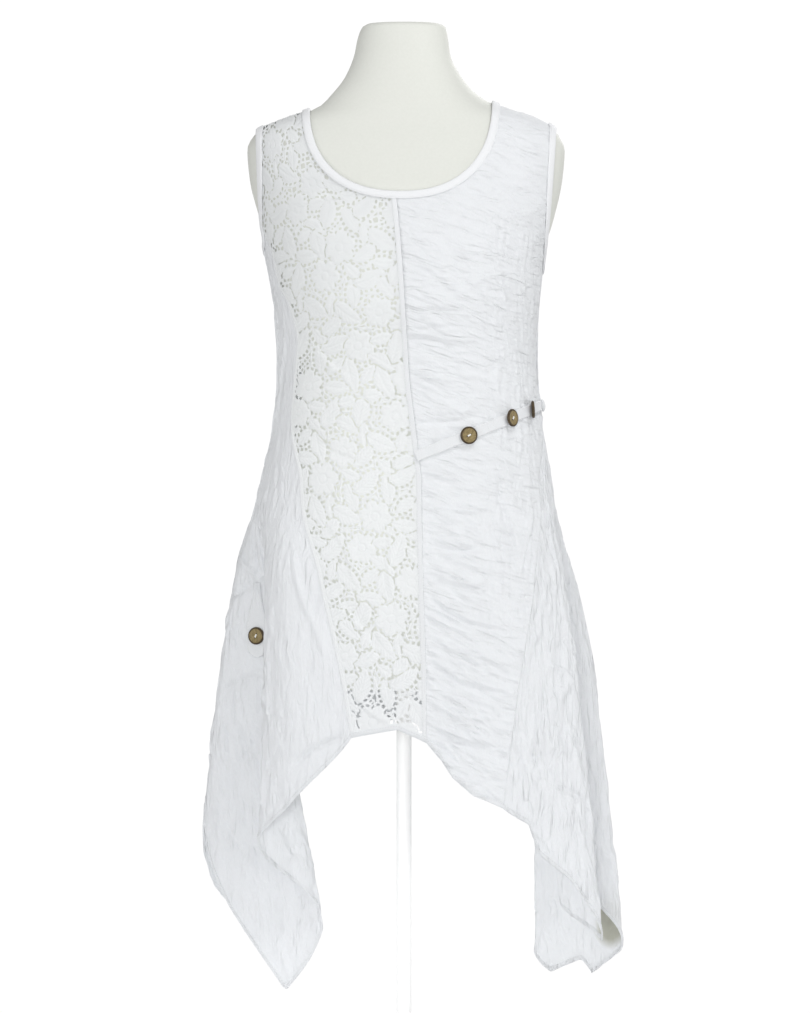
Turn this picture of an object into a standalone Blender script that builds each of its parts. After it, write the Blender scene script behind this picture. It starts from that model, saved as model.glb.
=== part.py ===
"""A sleeveless tunic on a limbless dress form: lace and crinkled-linen front, handkerchief hem
whose sides fall in accordion folds, bound neck and armholes, a buttoned strap and a side tab.

Metres, +Z up, the front faces -Y. The origin is the centre of the stand's underside.
A turn is an angle round the body in degrees: 0 is the front, 90 the wearer's right side (-X),
180 the back and 270 the other side (+X). The skirt's ring runs through numbered stations, one
for each seam and fold, in the same direction.
"""

import math
from collections import namedtuple

import bmesh
import bpy
from mathutils import Vector

# ---- driving sizes ----
CLOTH = 0.0012          # wall of one layer of cloth
GAP = 0.0003            # between solids that meet
SEAM_GAP = 0.0005       # between panels along a seam
CLEAR = 0.0016          # from the form to the inside of the cloth at the shoulders
BINDING_WIDTH = 0.0095
BINDING_WALL = 0.0012
BINDING_OVERHANG = 0.001  # how far a binding reaches past the cloth's edge
LOOSE_GAP = 0.0008      # between a panel and what lies on it
SQUARENESS = 2.3        # exponent of the body's ovals: 2 would be an ellipse

POLE_RADIUS = 0.009
BASE_RADIUS = 0.150
BASE_HEIGHT = 0.010
BASE_EDGE = 0.003

# Sections of the dress form, from the neck's top to the flat underside.
Section = namedtuple("Section", "z left right front back")
FORM = (
    Section(1.2310, 0.0440, 0.0440, 0.0440, 0.0440),
    Section(1.2275, 0.0500, 0.0500, 0.0490, 0.0490),
    Section(1.2126, 0.0560, 0.0530, 0.0530, 0.0530),
    Section(1.1946, 0.0596, 0.0556, 0.0560, 0.0560),
    Section(1.1680, 0.0705, 0.0690, 0.0630, 0.0620),
    Section(1.1466, 0.0870, 0.0880, 0.0690, 0.0670),
    Section(1.1310, 0.1030, 0.1150, 0.0730, 0.0710),
    Section(1.1180, 0.1380, 0.1540, 0.0770, 0.0750),
    Section(1.1050, 0.1700, 0.1790, 0.0810, 0.0790),
    Section(1.0950, 0.1820, 0.1870, 0.0860, 0.0830),
    Section(1.0806, 0.1880, 0.1930, 0.0920, 0.0870),
    Section(1.0446, 0.1850, 0.1900, 0.1040, 0.0940),
    Section(1.0026, 0.1745, 0.1810, 0.1160, 0.0980),
    Section(0.9546, 0.1600, 0.1660, 0.1260, 0.0970),
    Section(0.9006, 0.1480, 0.1500, 0.1300, 0.0920),
    Section(0.8466, 0.1330, 0.1340, 0.1140, 0.0820),
    Section(0.8070, 0.1220, 0.1220, 0.1020, 0.0760),
    Section(0.7506, 0.1280, 0.1280, 0.1010, 0.0860),
    Section(0.6846, 0.1400, 0.1400, 0.1050, 0.1020),
    Section(0.6126, 0.1490, 0.1490, 0.1070, 0.1120),
    Section(0.5406, 0.1480, 0.1480, 0.1040, 0.1120),
    Section(0.4686, 0.1400, 0.1400, 0.0970, 0.1040),
    Section(0.4350, 0.1330, 0.1330, 0.0920, 0.0980),
)
FORM_SIDES = 32
RIDGE_FOOT = 1.0806     # the shoulder's ridge is looked for between these heights
RIDGE_TOP = 1.2275

# How finely the cloth is divided: rows above the hip, below it and up a strap.
BODY_ROWS = 10
SKIRT_ROWS = 12
STRAP_ROWS = 10
STRAP_CROWDING = 2.2    # over 1 brings a strap's rows closer towards the shoulder
FLOOR_STEPS = 16        # along an armhole's floor

# How far the cloth hangs off the form: none at the shoulders, most round the waist.
Ease = namedtuple("Ease", "z left right front back")
EASE = (
    Ease(1.2310, 0.0000, 0.0000, 0.0000, 0.0000),
    Ease(1.0446, 0.0000, 0.0000, 0.0000, 0.0000),
    Ease(1.0026, 0.0000, 0.0000, 0.0005, 0.0010),
    Ease(0.9546, 0.0040, 0.0015, 0.0030, 0.0050),
    Ease(0.9006, 0.0060, 0.0100, 0.0040, 0.0080),
    Ease(0.8466, 0.0150, 0.0215, 0.0130, 0.0150),
    Ease(0.8070, 0.0260, 0.0340, 0.0220, 0.0210),
    Ease(0.7506, 0.0260, 0.0350, 0.0230, 0.0180),
    Ease(0.6846, 0.0280, 0.0340, 0.0220, 0.0160),
    Ease(0.6126, 0.0330, 0.0340, 0.0250, 0.0180),
    Ease(0.5406, 0.0500, 0.0540, 0.0300, 0.0220),
)

# Where the seams run above the hip: lace and centre as X, the others as turns.
Seams = namedtuple("Seams", "z lace centre right left_back right_back")
SEAMS = (
    Seams(1.0214, -0.1720, -0.0096, 276, 128, 232),
    Seams(0.9942, -0.1690, -0.0066, 276, 128, 232),
    Seams(0.9510, -0.1540, -0.0030, 276, 129, 231),
    Seams(0.9150, -0.1464, -0.0005, 276, 131, 229),
    Seams(0.8946, -0.1356, 0.0008, 276, 132, 228),
    Seams(0.8466, -0.1248, 0.0036, 276, 135, 225),
    Seams(0.8070, -0.1284, 0.0060, 277, 138, 222),
    Seams(0.7506, -0.1320, 0.0126, 281, 140, 221),
    Seams(0.6846, -0.1212, 0.0204, 297, 142, 220),
)

# The skirt's stations round the ring. Each runs down from its turn on the hip oval through
# the plan points (x, y) of three levels, and its hem height is in HEM.
HIP_Z = 0.6846
UPPER_Z = 0.5766
MIDDLE_Z = 0.4326
LOW_Z = 0.1446
Fold = namedtuple("Fold", "name turn upper middle low")
FOLDS = (
    Fold("centre_seam", None, (0.022, -0.136), (0.026, -0.143), (0.028, -0.150)),
    Fold("lace_seam", None, (-0.101, -0.128), (-0.070, -0.140), (-0.030, -0.148)),
    Fold("left_ridge", 52, (-0.142, -0.113), (-0.138, -0.124), (-0.130, -0.130)),
    Fold("left_fold", 69, (-0.163, -0.080), (-0.165, -0.094), (-0.173, -0.104)),
    Fold("left_tuck", 79, (-0.158, -0.048), (-0.142, -0.054), (-0.093, -0.056)),
    Fold("left_edge", 92, (-0.197, -0.012), (-0.221, -0.008), (-0.250, -0.004)),
    Fold("left_tail", 112, (-0.180, 0.055), (-0.184, 0.064), (-0.178, 0.060)),
    Fold("left_back", None, (-0.115, 0.122), (-0.112, 0.136), (-0.100, 0.132)),
    Fold("back_centre", 180, (0.000, 0.138), (0.000, 0.152), (0.000, 0.155)),
    Fold("right_back", None, (0.112, 0.126), (0.110, 0.140), (0.100, 0.138)),
    Fold("right_return", 230, (0.146, 0.108), (0.176, 0.122), (0.206, 0.116)),
    Fold("right_drop", 238, (0.164, 0.083), (0.157, 0.086), (0.157, 0.076)),
    Fold("right_hang", 252, (0.190, 0.046), (0.210, 0.048), (0.226, 0.046)),
    Fold("right_edge", 267, (0.199, 0.004), (0.228, 0.000), (0.260, -0.002)),
    Fold("right_tuck", 278, (0.168, -0.042), (0.168, -0.050), (0.187, -0.050)),
    Fold("right_fold", 287, (0.188, -0.068), (0.206, -0.082), (0.232, -0.094)),
    Fold("right_seam", None, (0.154, -0.109), (0.133, -0.129), (0.097, -0.142)),
)
STATION = {fold.name: number for number, fold in enumerate(FOLDS)}
RING = len(FOLDS)
SOFTNESS = 0.85         # tangent length at the folds: lower is a tighter fold

# The cut edge of the hem, as a height at each corner on the ring.
Corner = namedtuple("Corner", "station z")
HEM = (
    Corner(0.00, 0.3750), Corner(0.40, 0.3906), Corner(1.00, 0.3810), Corner(2.00, 0.3006),
    Corner(3.00, 0.2598), Corner(4.00, 0.1746), Corner(4.38, 0.0750), Corner(5.00, 0.2934),
    Corner(5.12, 0.2480), Corner(5.40, 0.1974), Corner(6.00, 0.1326), Corner(7.00, 0.3650),
    Corner(8.00, 0.3960), Corner(9.00, 0.3300), Corner(10.00, 0.2000), Corner(11.00, 0.1146),
    Corner(11.40, 0.0894), Corner(11.80, 0.1062), Corner(12.00, 0.0894), Corner(13.00, 0.1290),
    Corner(13.50, 0.1878), Corner(14.00, 0.1806), Corner(15.00, 0.1386), Corner(15.20, 0.1698),
    Corner(15.41, 0.2118), Corner(15.65, 0.2430), Corner(15.74, 0.2790), Corner(16.00, 0.2980),
    Corner(16.41, 0.3126), Corner(16.67, 0.3342), Corner(16.81, 0.3546), Corner(17.00, 0.3750),
)

# Heights of the armholes' floor between the front and back seams.
FLOOR_LEFT = (
    Corner(1.0, 0.9942), Corner(2.5, 0.9690), Corner(4.5, 0.9620), Corner(6.0, 0.9760),
    Corner(7.0, 1.0050),
)
FLOOR_RIGHT = (
    Corner(9.0, 1.0050), Corner(10.5, 0.9700), Corner(12.5, 0.9460), Corner(14.5, 0.9400),
    Corner(16.0, 0.9460),
)

# The neckline, a superellipse in the front view and a shallower one at the back.
NECK_CENTRE = -0.0036
NECK_HALF_WIDTH = 0.109
NECK_BOTTOM_FRONT = 1.0234
NECK_BOTTOM_BACK = 1.0790
NECK_CENTRE_SHARE = 0.022     # the centre seam meets the neckline this far left of its middle
NECK_STEPS = 24               # along half the neckline

# The armholes' edges on the straps, as X at the bottom and at the shoulder. A bow under 1
# brings the edge out early, so that it curves out of the armhole's floor.
Armhole = namedtuple("Armhole", "bottom_x bottom_z top_x top_z bow")
ARMHOLES = {
    "front_left": Armhole(-0.1690, 0.9942, -0.1740, 1.1040, 0.85),
    "front_right": Armhole(0.1650, 0.9460, 0.1790, 1.1060, 0.85),
    "back_left": Armhole(-0.1420, 1.0050, -0.1740, 1.1040, 0.7),
    "back_right": Armhole(0.1475, 1.0050, 0.1790, 1.1060, 0.7),
}

STRAP_WIDTH = 0.0130
STRAP_WALL = 0.0016
STRAP_START = (0.0140, 0.7120)   # X and Z where it leaves the centre seam
STRAP_SLOPE = 0.408
STRAP_END_TURN = 262
STRAP_LEVEL = 0.745              # where the body's plan is read for the strap's line
STRAP_STEPS = 18

TAB_TOP = 0.562
TAB_BOTTOM = 0.473
TAB_STATION = 4.43
TAB_TOP_WIDTH = 0.010
TAB_WIDTH = 0.028
TAB_WALL = 0.0014
TAB_STEPS = 12
TAB_ACROSS = (-1, -0.33, 0.33, 1)   # columns as shares of half the width

BUTTON_RADIUS = 0.0105
BUTTON_HEIGHT = 0.0034
BUTTON_X = (0.0740, 0.1250, 0.1500)
TAB_BUTTON_Z = 0.4985
BUTTON_STEPS = 20
Rim = namedtuple("Rim", "radius height")   # as shares of the button's own
BUTTON_PROFILE = (
    Rim(0.00, 0.00), Rim(0.80, 0.00), Rim(1.00, 0.35), Rim(1.00, 0.65),
    Rim(0.88, 1.00), Rim(0.70, 0.94), Rim(0.00, 0.80),
)

LINEN = (0.90, 0.90, 0.89)
LACE = (0.92, 0.92, 0.90)
FORM_CREAM = (0.81, 0.82, 0.78)
STAND_WHITE = (0.86, 0.86, 0.86)
COCONUT = (0.20, 0.16, 0.08)


# ---- curves and tables ----
def lerp(a, b, share):
    return a + (b - a) * share


def smoothstep(low, high, value):
    share = min(1.0, max(0.0, (value - low) / (high - low)))
    return share * share * (3 - 2 * share)


def through(places, values, at):
    """A curve with no overshoot through (place, value) pairs, with places rising."""
    if at <= places[0]:
        return values[0]
    if at >= places[-1]:
        return values[-1]
    spans = [b - a for a, b in zip(places, places[1:])]
    slopes = [(b - a) / span for a, b, span in zip(values, values[1:], spans)]
    bends = [slopes[0]]
    for before, after in zip(slopes, slopes[1:]):
        bends.append(2 * before * after / (before + after) if before * after > 0 else 0.0)
    bends.append(slopes[-1])
    i = max(k for k in range(len(spans)) if places[k] <= at)
    t = (at - places[i]) / spans[i]
    start = (1 + 2 * t) * (1 - t) ** 2 * values[i] + t * t * (3 - 2 * t) * values[i + 1]
    return start + spans[i] * t * (1 - t) * ((1 - t) * bends[i] - t * bends[i + 1])


def column(table, name, at, key="z"):
    """The named column of a table, read at a height or a station."""
    rows = sorted(table, key=lambda row: getattr(row, key))
    places = [getattr(row, key) for row in rows]
    return through(places, [getattr(row, name) for row in rows], at)


def straight(table, at):
    """The height at a station, with straight edges between the table's corners."""
    for a, b in zip(table, table[1:]):
        if a.station <= at <= b.station:
            return lerp(a.z, b.z, (at - a.station) / (b.station - a.station))
    return table[-1].z


# ---- the body's ovals ----
def power(value):
    return math.copysign(abs(value) ** (2 / SQUARENESS), value)


def oval(left, right, front, back, turn):
    across = power(math.sin(math.radians(turn)))
    ahead = power(math.cos(math.radians(turn)))
    return -across * (left if across > 0 else right), -ahead * (front if ahead > 0 else back)


def form_sides(z):
    return tuple(column(FORM, name, z) for name in ("left", "right", "front", "back"))


def cloth_sides(z):
    names = ("left", "right", "front", "back")
    return tuple(form + column(EASE, name, z) for form, name in zip(form_sides(z), names))


def on_body(turn, z):
    """A point of the worn cloth above the hip."""
    x, y = oval(*cloth_sides(z), turn)
    return Vector((x, y, z))


def body_normal(turn, z):
    step = 1.5
    rise = 0.002
    round_it = on_body(turn + step, z) - on_body(turn - step, z)
    up_it = on_body(turn, z + rise) - on_body(turn, z - rise)
    return up_it.cross(round_it).normalized()


def ridge_z(x):
    """How high the shoulder's ridge stands at this X."""
    side = "left" if x < 0 else "right"
    low, high = RIDGE_FOOT, RIDGE_TOP
    for _ in range(30):
        middle = (low + high) / 2
        if column(FORM, side, middle) > abs(x):
            low = middle
        else:
            high = middle
    return low


def turn_at(x, z, back=False):
    """The turn at which the oval of this height has this X."""
    left, right, _, _ = cloth_sides(z)
    share = min(1.0, abs(x) / (left if x < 0 else right))
    angle = math.degrees(math.asin(share ** (SQUARENESS / 2)))
    if back:
        angle = 180 - angle
    return angle if x < 0 else 360 - angle


def turn_of(point):
    """The turn of the body's point nearest a point at the same height."""
    left, right, front, back = cloth_sides(point.z)
    across = (abs(point.x) / (left if point.x < 0 else right)) ** (SQUARENESS / 2)
    ahead = (abs(point.y) / (front if point.y < 0 else back)) ** (SQUARENESS / 2)
    angle = math.degrees(math.atan2(math.copysign(across, -point.x), math.copysign(ahead, -point.y)))
    return angle % 360


# ---- seams and stations ----
def seam_turn(name, z):
    if name == "centre_seam":
        return turn_at(column(SEAMS, "centre", z), z)
    if name == "lace_seam":
        return turn_at(column(SEAMS, "lace", z), z)
    return column(SEAMS, {"right_seam": "right"}.get(name, name), z)


def seam_turns(z):
    """(station, turn) of every seam, once round the ring."""
    turns = [
        (STATION[name], seam_turn(name, z))
        for name in ("lace_seam", "left_back", "right_back", "right_seam")
    ]
    centre = seam_turn("centre_seam", z)
    centre = centre - 360 if centre > 180 else centre
    return [(0, centre)] + turns + [(RING, centre + 360)]


HIP_TURNS = [fold.turn for fold in FOLDS] + [None]
for seam_station, seam_angle in seam_turns(HIP_Z):
    HIP_TURNS[seam_station] = seam_angle


def hip_turn(station):
    whole = min(int(station), RING - 1)
    return lerp(HIP_TURNS[whole], HIP_TURNS[whole + 1], station - whole)


def turn_on(station, z):
    """The turn of a station at a height above the hip, kept between its panel's seams."""
    seams = seam_turns(z)
    for (first, low), (last, high) in zip(seams, seams[1:]):
        if first <= station <= last:
            start, end = HIP_TURNS[first], HIP_TURNS[last]
            return lerp(low, high, (hip_turn(station) - start) / (end - start))
    return high


def anchor(number, z):
    """The plan point of a station at a height below the hip."""
    fold = FOLDS[number % RING]
    hip = on_body(HIP_TURNS[number % RING], HIP_Z)
    places = (LOW_Z, MIDDLE_Z, UPPER_Z, HIP_Z)
    xs = (fold.low[0], fold.middle[0], fold.upper[0], hip.x)
    ys = (fold.low[1], fold.middle[1], fold.upper[1], hip.y)
    return Vector((through(places, xs, z), through(places, ys, z)))


def ring_point(station, z):
    """The folded ring of a height below the hip, a smooth curve through its stations."""
    whole = min(int(station), RING - 1)
    a, b, c, d = (anchor(whole + step, z) for step in (-1, 0, 1, 2))
    before, span, after = (b - a).length, (c - b).length, (d - c).length
    leave = ((b - a) / before * span + (c - b) / span * before) / (before + span)
    arrive = ((c - b) / span * after + (d - c) / after * span) / (span + after)
    t = station - whole
    point = (1 + 2 * t) * (1 - t) ** 2 * b + t * t * (3 - 2 * t) * c
    return point + span * SOFTNESS * t * (1 - t) * ((1 - t) * leave - t * arrive)


def on_cloth(station, z):
    """A point of the garment's tube at a station and a height."""
    folded = smoothstep(HIP_Z, UPPER_Z, z) if z < HIP_Z else 0.0
    point = on_body(turn_on(station, z), z)
    if folded > 0.0:
        ring = ring_point(station, z)
        point = point.lerp(Vector((ring.x, ring.y, z)), folded)
    return point


def cloth_normal(station, z):
    step = 0.04
    rise = 0.003
    low = max(0.0, station - step)
    high = min(RING, station + step)
    round_it = on_cloth(high, z) - on_cloth(low, z)
    up_it = on_cloth(station, z + rise) - on_cloth(station, z - rise)
    return up_it.cross(round_it).normalized()


# ---- the edges of the straps ----
def neck_point(side_share, back=False):
    """X and Z on the neckline: -1 is the left shoulder, 0 the middle and 1 the right."""
    angle = math.radians(90 * side_share)
    bottom = NECK_BOTTOM_BACK if back else NECK_BOTTOM_FRONT
    top = ridge_z(NECK_CENTRE + math.copysign(NECK_HALF_WIDTH, side_share))
    x = NECK_CENTRE + NECK_HALF_WIDTH * power(math.sin(angle))
    return x, min(lerp(top, bottom, power(math.cos(angle))), ridge_z(x))


def armhole_point(name, share):
    """X and Z on a strap's armhole edge, from its bottom to the shoulder."""
    edge = ARMHOLES[name]
    x = lerp(edge.bottom_x, edge.top_x, share**edge.bow)
    return x, min(lerp(edge.bottom_z, edge.top_z, share), ridge_z(x))


def toward_ridge(share):
    """Even steps made smaller towards 1, where the strap turns over the shoulder."""
    return 1 - (1 - share) ** STRAP_CROWDING


def strap_turn(x, z, back, share):
    """The turn on a strap, which reaches the ridge at the shoulder itself."""
    ridge = 90 if x < 0 else 270
    return ridge if share >= 1.0 else turn_at(x, z, back)


def strap_point(name, across, share):
    """The turn and height on a strap: across from armhole to neck, share from below to shoulder."""
    back = name.startswith("back")
    side = -1 if name.endswith("left") else 1
    start = 0.0 if back else (NECK_CENTRE_SHARE if side < 0 else -NECK_CENTRE_SHARE)
    neck_x, neck_z = neck_point(side * lerp(start, 1.0, share), back)
    arm_x, arm_z = armhole_point(name, share)
    arm_turn = strap_turn(arm_x, arm_z, back, share)
    neck_turn = strap_turn(neck_x, neck_z, back, share)
    if side > 0 and neck_turn < 90:
        neck_turn += 360
    if side < 0 and neck_turn > 270:
        neck_turn -= 360
    return lerp(arm_turn, neck_turn, across), lerp(arm_z, neck_z, across)


# ---- building meshes ----
def material(name, colour, roughness):
    made = bpy.data.materials.new(name)
    made.use_nodes = True
    shader = made.node_tree.nodes["Principled BSDF"]
    shader.inputs["Base Color"].default_value = (*colour, 1)
    shader.inputs["Roughness"].default_value = roughness
    shader.inputs["Metallic"].default_value = 0.0
    return made


def add_object(name, mesh, finish):
    thing = bpy.data.objects.new(name, mesh)
    thing.data.materials.append(finish)
    bpy.context.scene.collection.objects.link(thing)
    thing.data.shade_smooth()
    thing.data.set_sharp_from_angle(angle=math.radians(40))
    return thing


def layer(point, normal, lift, wall):
    """The outer and the inner point of a wall that starts this far off the surface."""
    return point + normal * (lift + wall), point + normal * lift


def shell_mesh(name, grids):
    """A closed wall from grids of (outer, inner) points, which join where the points agree."""
    form = bmesh.new()
    known = {}
    boundary = {}
    for grid in grids:
        rows = []
        for row in grid:
            for outer, inner in row:
                key = tuple(round(value, 5) for value in outer)
                if key not in known:
                    known[key] = (form.verts.new(outer), form.verts.new(inner))
            rows.append([known[tuple(round(value, 5) for value in outer)] for outer, _ in row])
        for low, high in zip(rows, rows[1:]):
            for i in range(len(low) - 1):
                corners = (low[i], low[i + 1], high[i + 1], high[i])
                form.faces.new([corner[0] for corner in corners])
                form.faces.new([corner[1] for corner in reversed(corners)])
                for a, b in zip(corners, corners[1:] + corners[:1]):
                    if boundary.pop((b, a), None) is None:
                        boundary[(a, b)] = True
    for a, b in boundary:
        form.faces.new((a[0], a[1], b[1], b[0]))
    mesh = bpy.data.meshes.new(name)
    form.to_mesh(mesh)
    form.free()
    return mesh


def cloth_object(name, grids, finish):
    return add_object(name, shell_mesh(name, grids), finish)


def trimmed(row):
    """A row of wall points drawn back from the seams at both its ends."""
    first = (row[1][0] - row[0][0]).normalized() * SEAM_GAP / 2
    last = (row[-2][0] - row[-1][0]).normalized() * SEAM_GAP / 2
    start = tuple(point + first for point in row[0])
    end = tuple(point + last for point in row[-1])
    return [start] + list(row[1:-1]) + [end]


def stations_between(first, last, per_station):
    """The panel's columns: every fold, every hem corner and even steps between."""
    wanted = {round(row.station, 4) for row in HEM if first <= row.station <= last}
    for whole in range(first, last):
        count = per_station[whole - first]
        wanted |= {round(whole + k / count, 4) for k in range(count + 1)}
    kept = []
    corners = {round(row.station, 4) for row in HEM}
    for station in sorted(wanted):
        close = kept and station - kept[-1] < 0.09
        if close and station not in corners:
            continue
        if close and kept[-1] not in corners:
            kept.pop()
        kept.append(station)
    return kept


def tube_grid(stations, top_z):
    """Rows of points down the tube: from the panel's top to the hip, and on to the hem."""
    grid = []
    for k in range(BODY_ROWS + SKIRT_ROWS + 1):
        row = []
        for station in stations:
            top = top_z(station)
            if k <= BODY_ROWS:
                z = lerp(top, HIP_Z, k / BODY_ROWS)
            else:
                z = lerp(HIP_Z, straight(HEM, station), (k - BODY_ROWS) / SKIRT_ROWS)
            row.append(layer(on_cloth(station, z), cloth_normal(station, z), CLEAR, CLOTH))
        grid.append(trimmed(row))
    return grid


def beside_ridge(point, back, least):
    """The point moved in Y until it is that far from the shoulder seam, on its own side."""
    y = max(point.y, least) if back else min(point.y, -least)
    return Vector((point.x, y, point.z))


def strap_grid(name, shares_across):
    """Rows of points up a strap to the shoulder seam, closest where it rounds the ridge.

    Near the armhole a row can reach the ridge before the last one does. So each row
    stays half a gap from the seam, and as much again for each row below the last.
    """
    back = name.startswith("back")
    grid = []
    for k in range(STRAP_ROWS + 1):
        share = toward_ridge(k / STRAP_ROWS)
        least = (STRAP_ROWS - k + 1) * SEAM_GAP / 2
        row = []
        for across in shares_across:
            turn, z = strap_point(name, across, share)
            walls = layer(on_body(turn, z), body_normal(turn, z), CLEAR, CLOTH)
            row.append(tuple(beside_ridge(point, back, least) for point in walls))
        grid.append(row)
    return grid[::-1]


def join_top(name, stations):
    """The height of a front or back panel's columns where its strap starts."""
    _, arm_z = strap_point(name, 0.0, 0.0)
    _, neck_z = strap_point(name, 1.0, 0.0)
    first, last = stations
    return lambda station: lerp(arm_z, neck_z, (station - first) / (last - first))


# ---- the garment ----
def hip_shares(stations):
    """How far across its panel each column lies, from the first to the last."""
    turns = [hip_turn(station) for station in stations]
    return [(turn - turns[0]) / (turns[-1] - turns[0]) for turn in turns]


def front_panel(name, strap, stations, arm_first, finish):
    shares = hip_shares(stations)
    ends = (stations[0], stations[-1])
    if not arm_first:
        ends = ends[::-1]
        shares = [1 - share for share in shares]
    lower = tube_grid(stations, join_top(strap, ends))
    upper = strap_grid(strap, shares)
    upper[-1] = lower[0]
    cloth_object(name, [upper, lower], finish)


def build_fronts(linen, lace):
    front_panel("front_lace_panel", "front_left", stations_between(0, 1, [7]), False, lace)
    stations = stations_between(STATION["right_seam"], RING, [7])
    front_panel("front_crinkle_panel", "front_right", stations, True, linen)


def side_panel(name, first, last, per_station, floor, finish):
    stations = stations_between(STATION[first], STATION[last], per_station)
    grid = tube_grid(stations, lambda station: column(floor, "z", station, "station"))
    cloth_object(name, [grid], finish)


def build_sides(finish):
    side_panel("left_side_panel", "lace_seam", "left_back", [2, 3, 4, 4, 4, 3], FLOOR_LEFT, finish)
    side_panel(
        "right_side_panel", "right_back", "right_seam", [3, 2, 3, 3, 4, 4, 3], FLOOR_RIGHT, finish
    )


def build_back(finish):
    first, centre, last = STATION["left_back"], STATION["back_centre"], STATION["right_back"]
    stations = stations_between(first, last, [5, 5])
    middle = stations.index(centre)
    left_top = join_top("back_left", (first, centre))
    right_top = join_top("back_right", (last, centre))
    lower = tube_grid(
        stations, lambda station: (left_top if station <= centre else right_top)(station)
    )
    left = strap_grid("back_left", hip_shares(stations[: middle + 1]))
    right = strap_grid("back_right", [1 - share for share in hip_shares(stations[middle:])])
    left[-1] = lower[0][: middle + 1]
    right[-1] = lower[0][middle:]
    cloth_object("back_panel", [left, right, lower], finish)


def band_grid(edge, closed, width_in, width_out, lift, wall):
    """A band along an edge on the body, from one distance across the edge to the other."""
    grid = []
    count = len(edge)
    for i, point in enumerate(edge):
        before = edge[i - 1] if closed or i > 0 else point
        after = edge[(i + 1) % count] if closed or i < count - 1 else point
        tangent = (after - before).normalized()
        across = tangent.cross(body_normal(turn_of(point), point.z)).normalized()
        row = []
        for distance in sorted((width_in, (width_in + width_out) / 2, width_out)):
            place = point + across * distance
            place.z = min(place.z, ridge_z(place.x) - 0.0001)
            turn = turn_of(place)
            row.append(layer(on_body(turn, place.z), body_normal(turn, place.z), lift, wall))
        grid.append(row)
    if closed:
        grid.append(grid[0])
    return grid


def neck_edge():
    """Points round the neckline: the front from left to right, then the back."""
    edge = []
    for back in (False, True):
        for k in range(NECK_STEPS):
            share = math.sin(math.radians(lerp(-90, 90, k / NECK_STEPS)))
            share = -share if back else share
            x, z = neck_point(share, back)
            edge.append(on_body(strap_turn(x, z, back, abs(share)), z))
    return edge


def armhole_edge(side):
    """Points round an armhole: up the front strap, down the back one and along the floor."""
    shares = [toward_ridge(k / 10) for k in range(11)]
    front = [on_body(*strap_point("front_" + side, 0.0, share)) for share in shares]
    back = [on_body(*strap_point("back_" + side, 0.0, share)) for share in shares[-2::-1]]
    if side == "left":
        first, last, table = STATION["left_back"], STATION["lace_seam"], FLOOR_LEFT
    else:
        first, last, table = STATION["right_back"], STATION["right_seam"], FLOOR_RIGHT
    floor = []
    for k in range(1, FLOOR_STEPS):
        station = lerp(first, last, k / FLOOR_STEPS)
        z = column(table, "z", station, "station")
        floor.append(on_body(turn_on(station, z), z))
    return front + back + floor


def build_bindings(finish):
    lift = CLEAR + CLOTH + LOOSE_GAP
    inside = BINDING_WIDTH - BINDING_OVERHANG
    bands = (
        ("neck_binding", neck_edge(), -BINDING_OVERHANG, inside),
        ("armhole_binding_left", armhole_edge("left"), -BINDING_OVERHANG, inside),
        ("armhole_binding_right", armhole_edge("right"), BINDING_OVERHANG, -inside),
    )
    for name, edge, near, far in bands:
        cloth_object(name, [band_grid(edge, True, near, far, lift, BINDING_WALL)], finish)


# ---- strap, tab and buttons ----
def strap_line(turn):
    """The strap's middle: it rises with X across the front and rounds the side."""
    start_x, start_z = STRAP_START
    x = on_body(turn, STRAP_LEVEL).x
    z = start_z + STRAP_SLOPE * (x - start_x)
    return on_body(turn, z)


def build_strap(finish):
    start_turn = turn_at(*STRAP_START)
    edge = [
        strap_line(lerp(start_turn, STRAP_END_TURN, k / STRAP_STEPS)) for k in range(STRAP_STEPS + 1)
    ]
    lift = CLEAR + CLOTH + LOOSE_GAP
    grid = band_grid(edge, False, STRAP_WIDTH / 2, -STRAP_WIDTH / 2, lift, STRAP_WALL)
    cloth_object("button_strap", [grid], finish)
    return lift + STRAP_WALL


def tab_half_width(share):
    """Half the tab's width down its length, with a round lower end."""
    body = lerp(TAB_TOP_WIDTH, TAB_WIDTH, smoothstep(0.0, 0.55, share)) / 2
    end = max(0.0, (share - 0.84) / 0.16)
    return body * math.sqrt(max(0.02, 1 - end * end * 0.97))


def build_tab(finish):
    lift = CLEAR + CLOTH + LOOSE_GAP
    grid = []
    for k in range(TAB_STEPS + 1):
        z = lerp(TAB_TOP, TAB_BOTTOM, k / TAB_STEPS)
        centre = on_cloth(TAB_STATION, z)
        along = (on_cloth(TAB_STATION + 0.1, z) - centre).length / 0.1
        row = []
        for share in TAB_ACROSS:
            station = TAB_STATION + share * tab_half_width(k / TAB_STEPS) / along
            row.append(layer(on_cloth(station, z), cloth_normal(station, z), lift, TAB_WALL))
        grid.append(row)
    cloth_object("side_tab", [grid], finish)
    return lift + TAB_WALL


def build_button(name, seat, normal, finish):
    """A disc with a rounded rim and a shallow dish, its axis along the normal."""
    form = bmesh.new()
    verts = [
        form.verts.new((rim.radius * BUTTON_RADIUS, 0, rim.height * BUTTON_HEIGHT))
        for rim in BUTTON_PROFILE
    ]
    edges = [form.edges.new(pair) for pair in zip(verts, verts[1:])]
    bmesh.ops.spin(
        form, geom=verts + edges, axis=(0, 0, 1), cent=(0, 0, 0), steps=BUTTON_STEPS, angle=math.tau
    )
    bmesh.ops.remove_doubles(form, verts=form.verts, dist=0.00005)
    bmesh.ops.recalc_face_normals(form, faces=form.faces)
    mesh = bpy.data.meshes.new(name)
    form.to_mesh(mesh)
    form.free()
    thing = add_object(name, mesh, finish)
    thing.location = seat
    thing.rotation_mode = "QUATERNION"
    thing.rotation_quaternion = normal.to_track_quat("Z", "Y")


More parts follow.
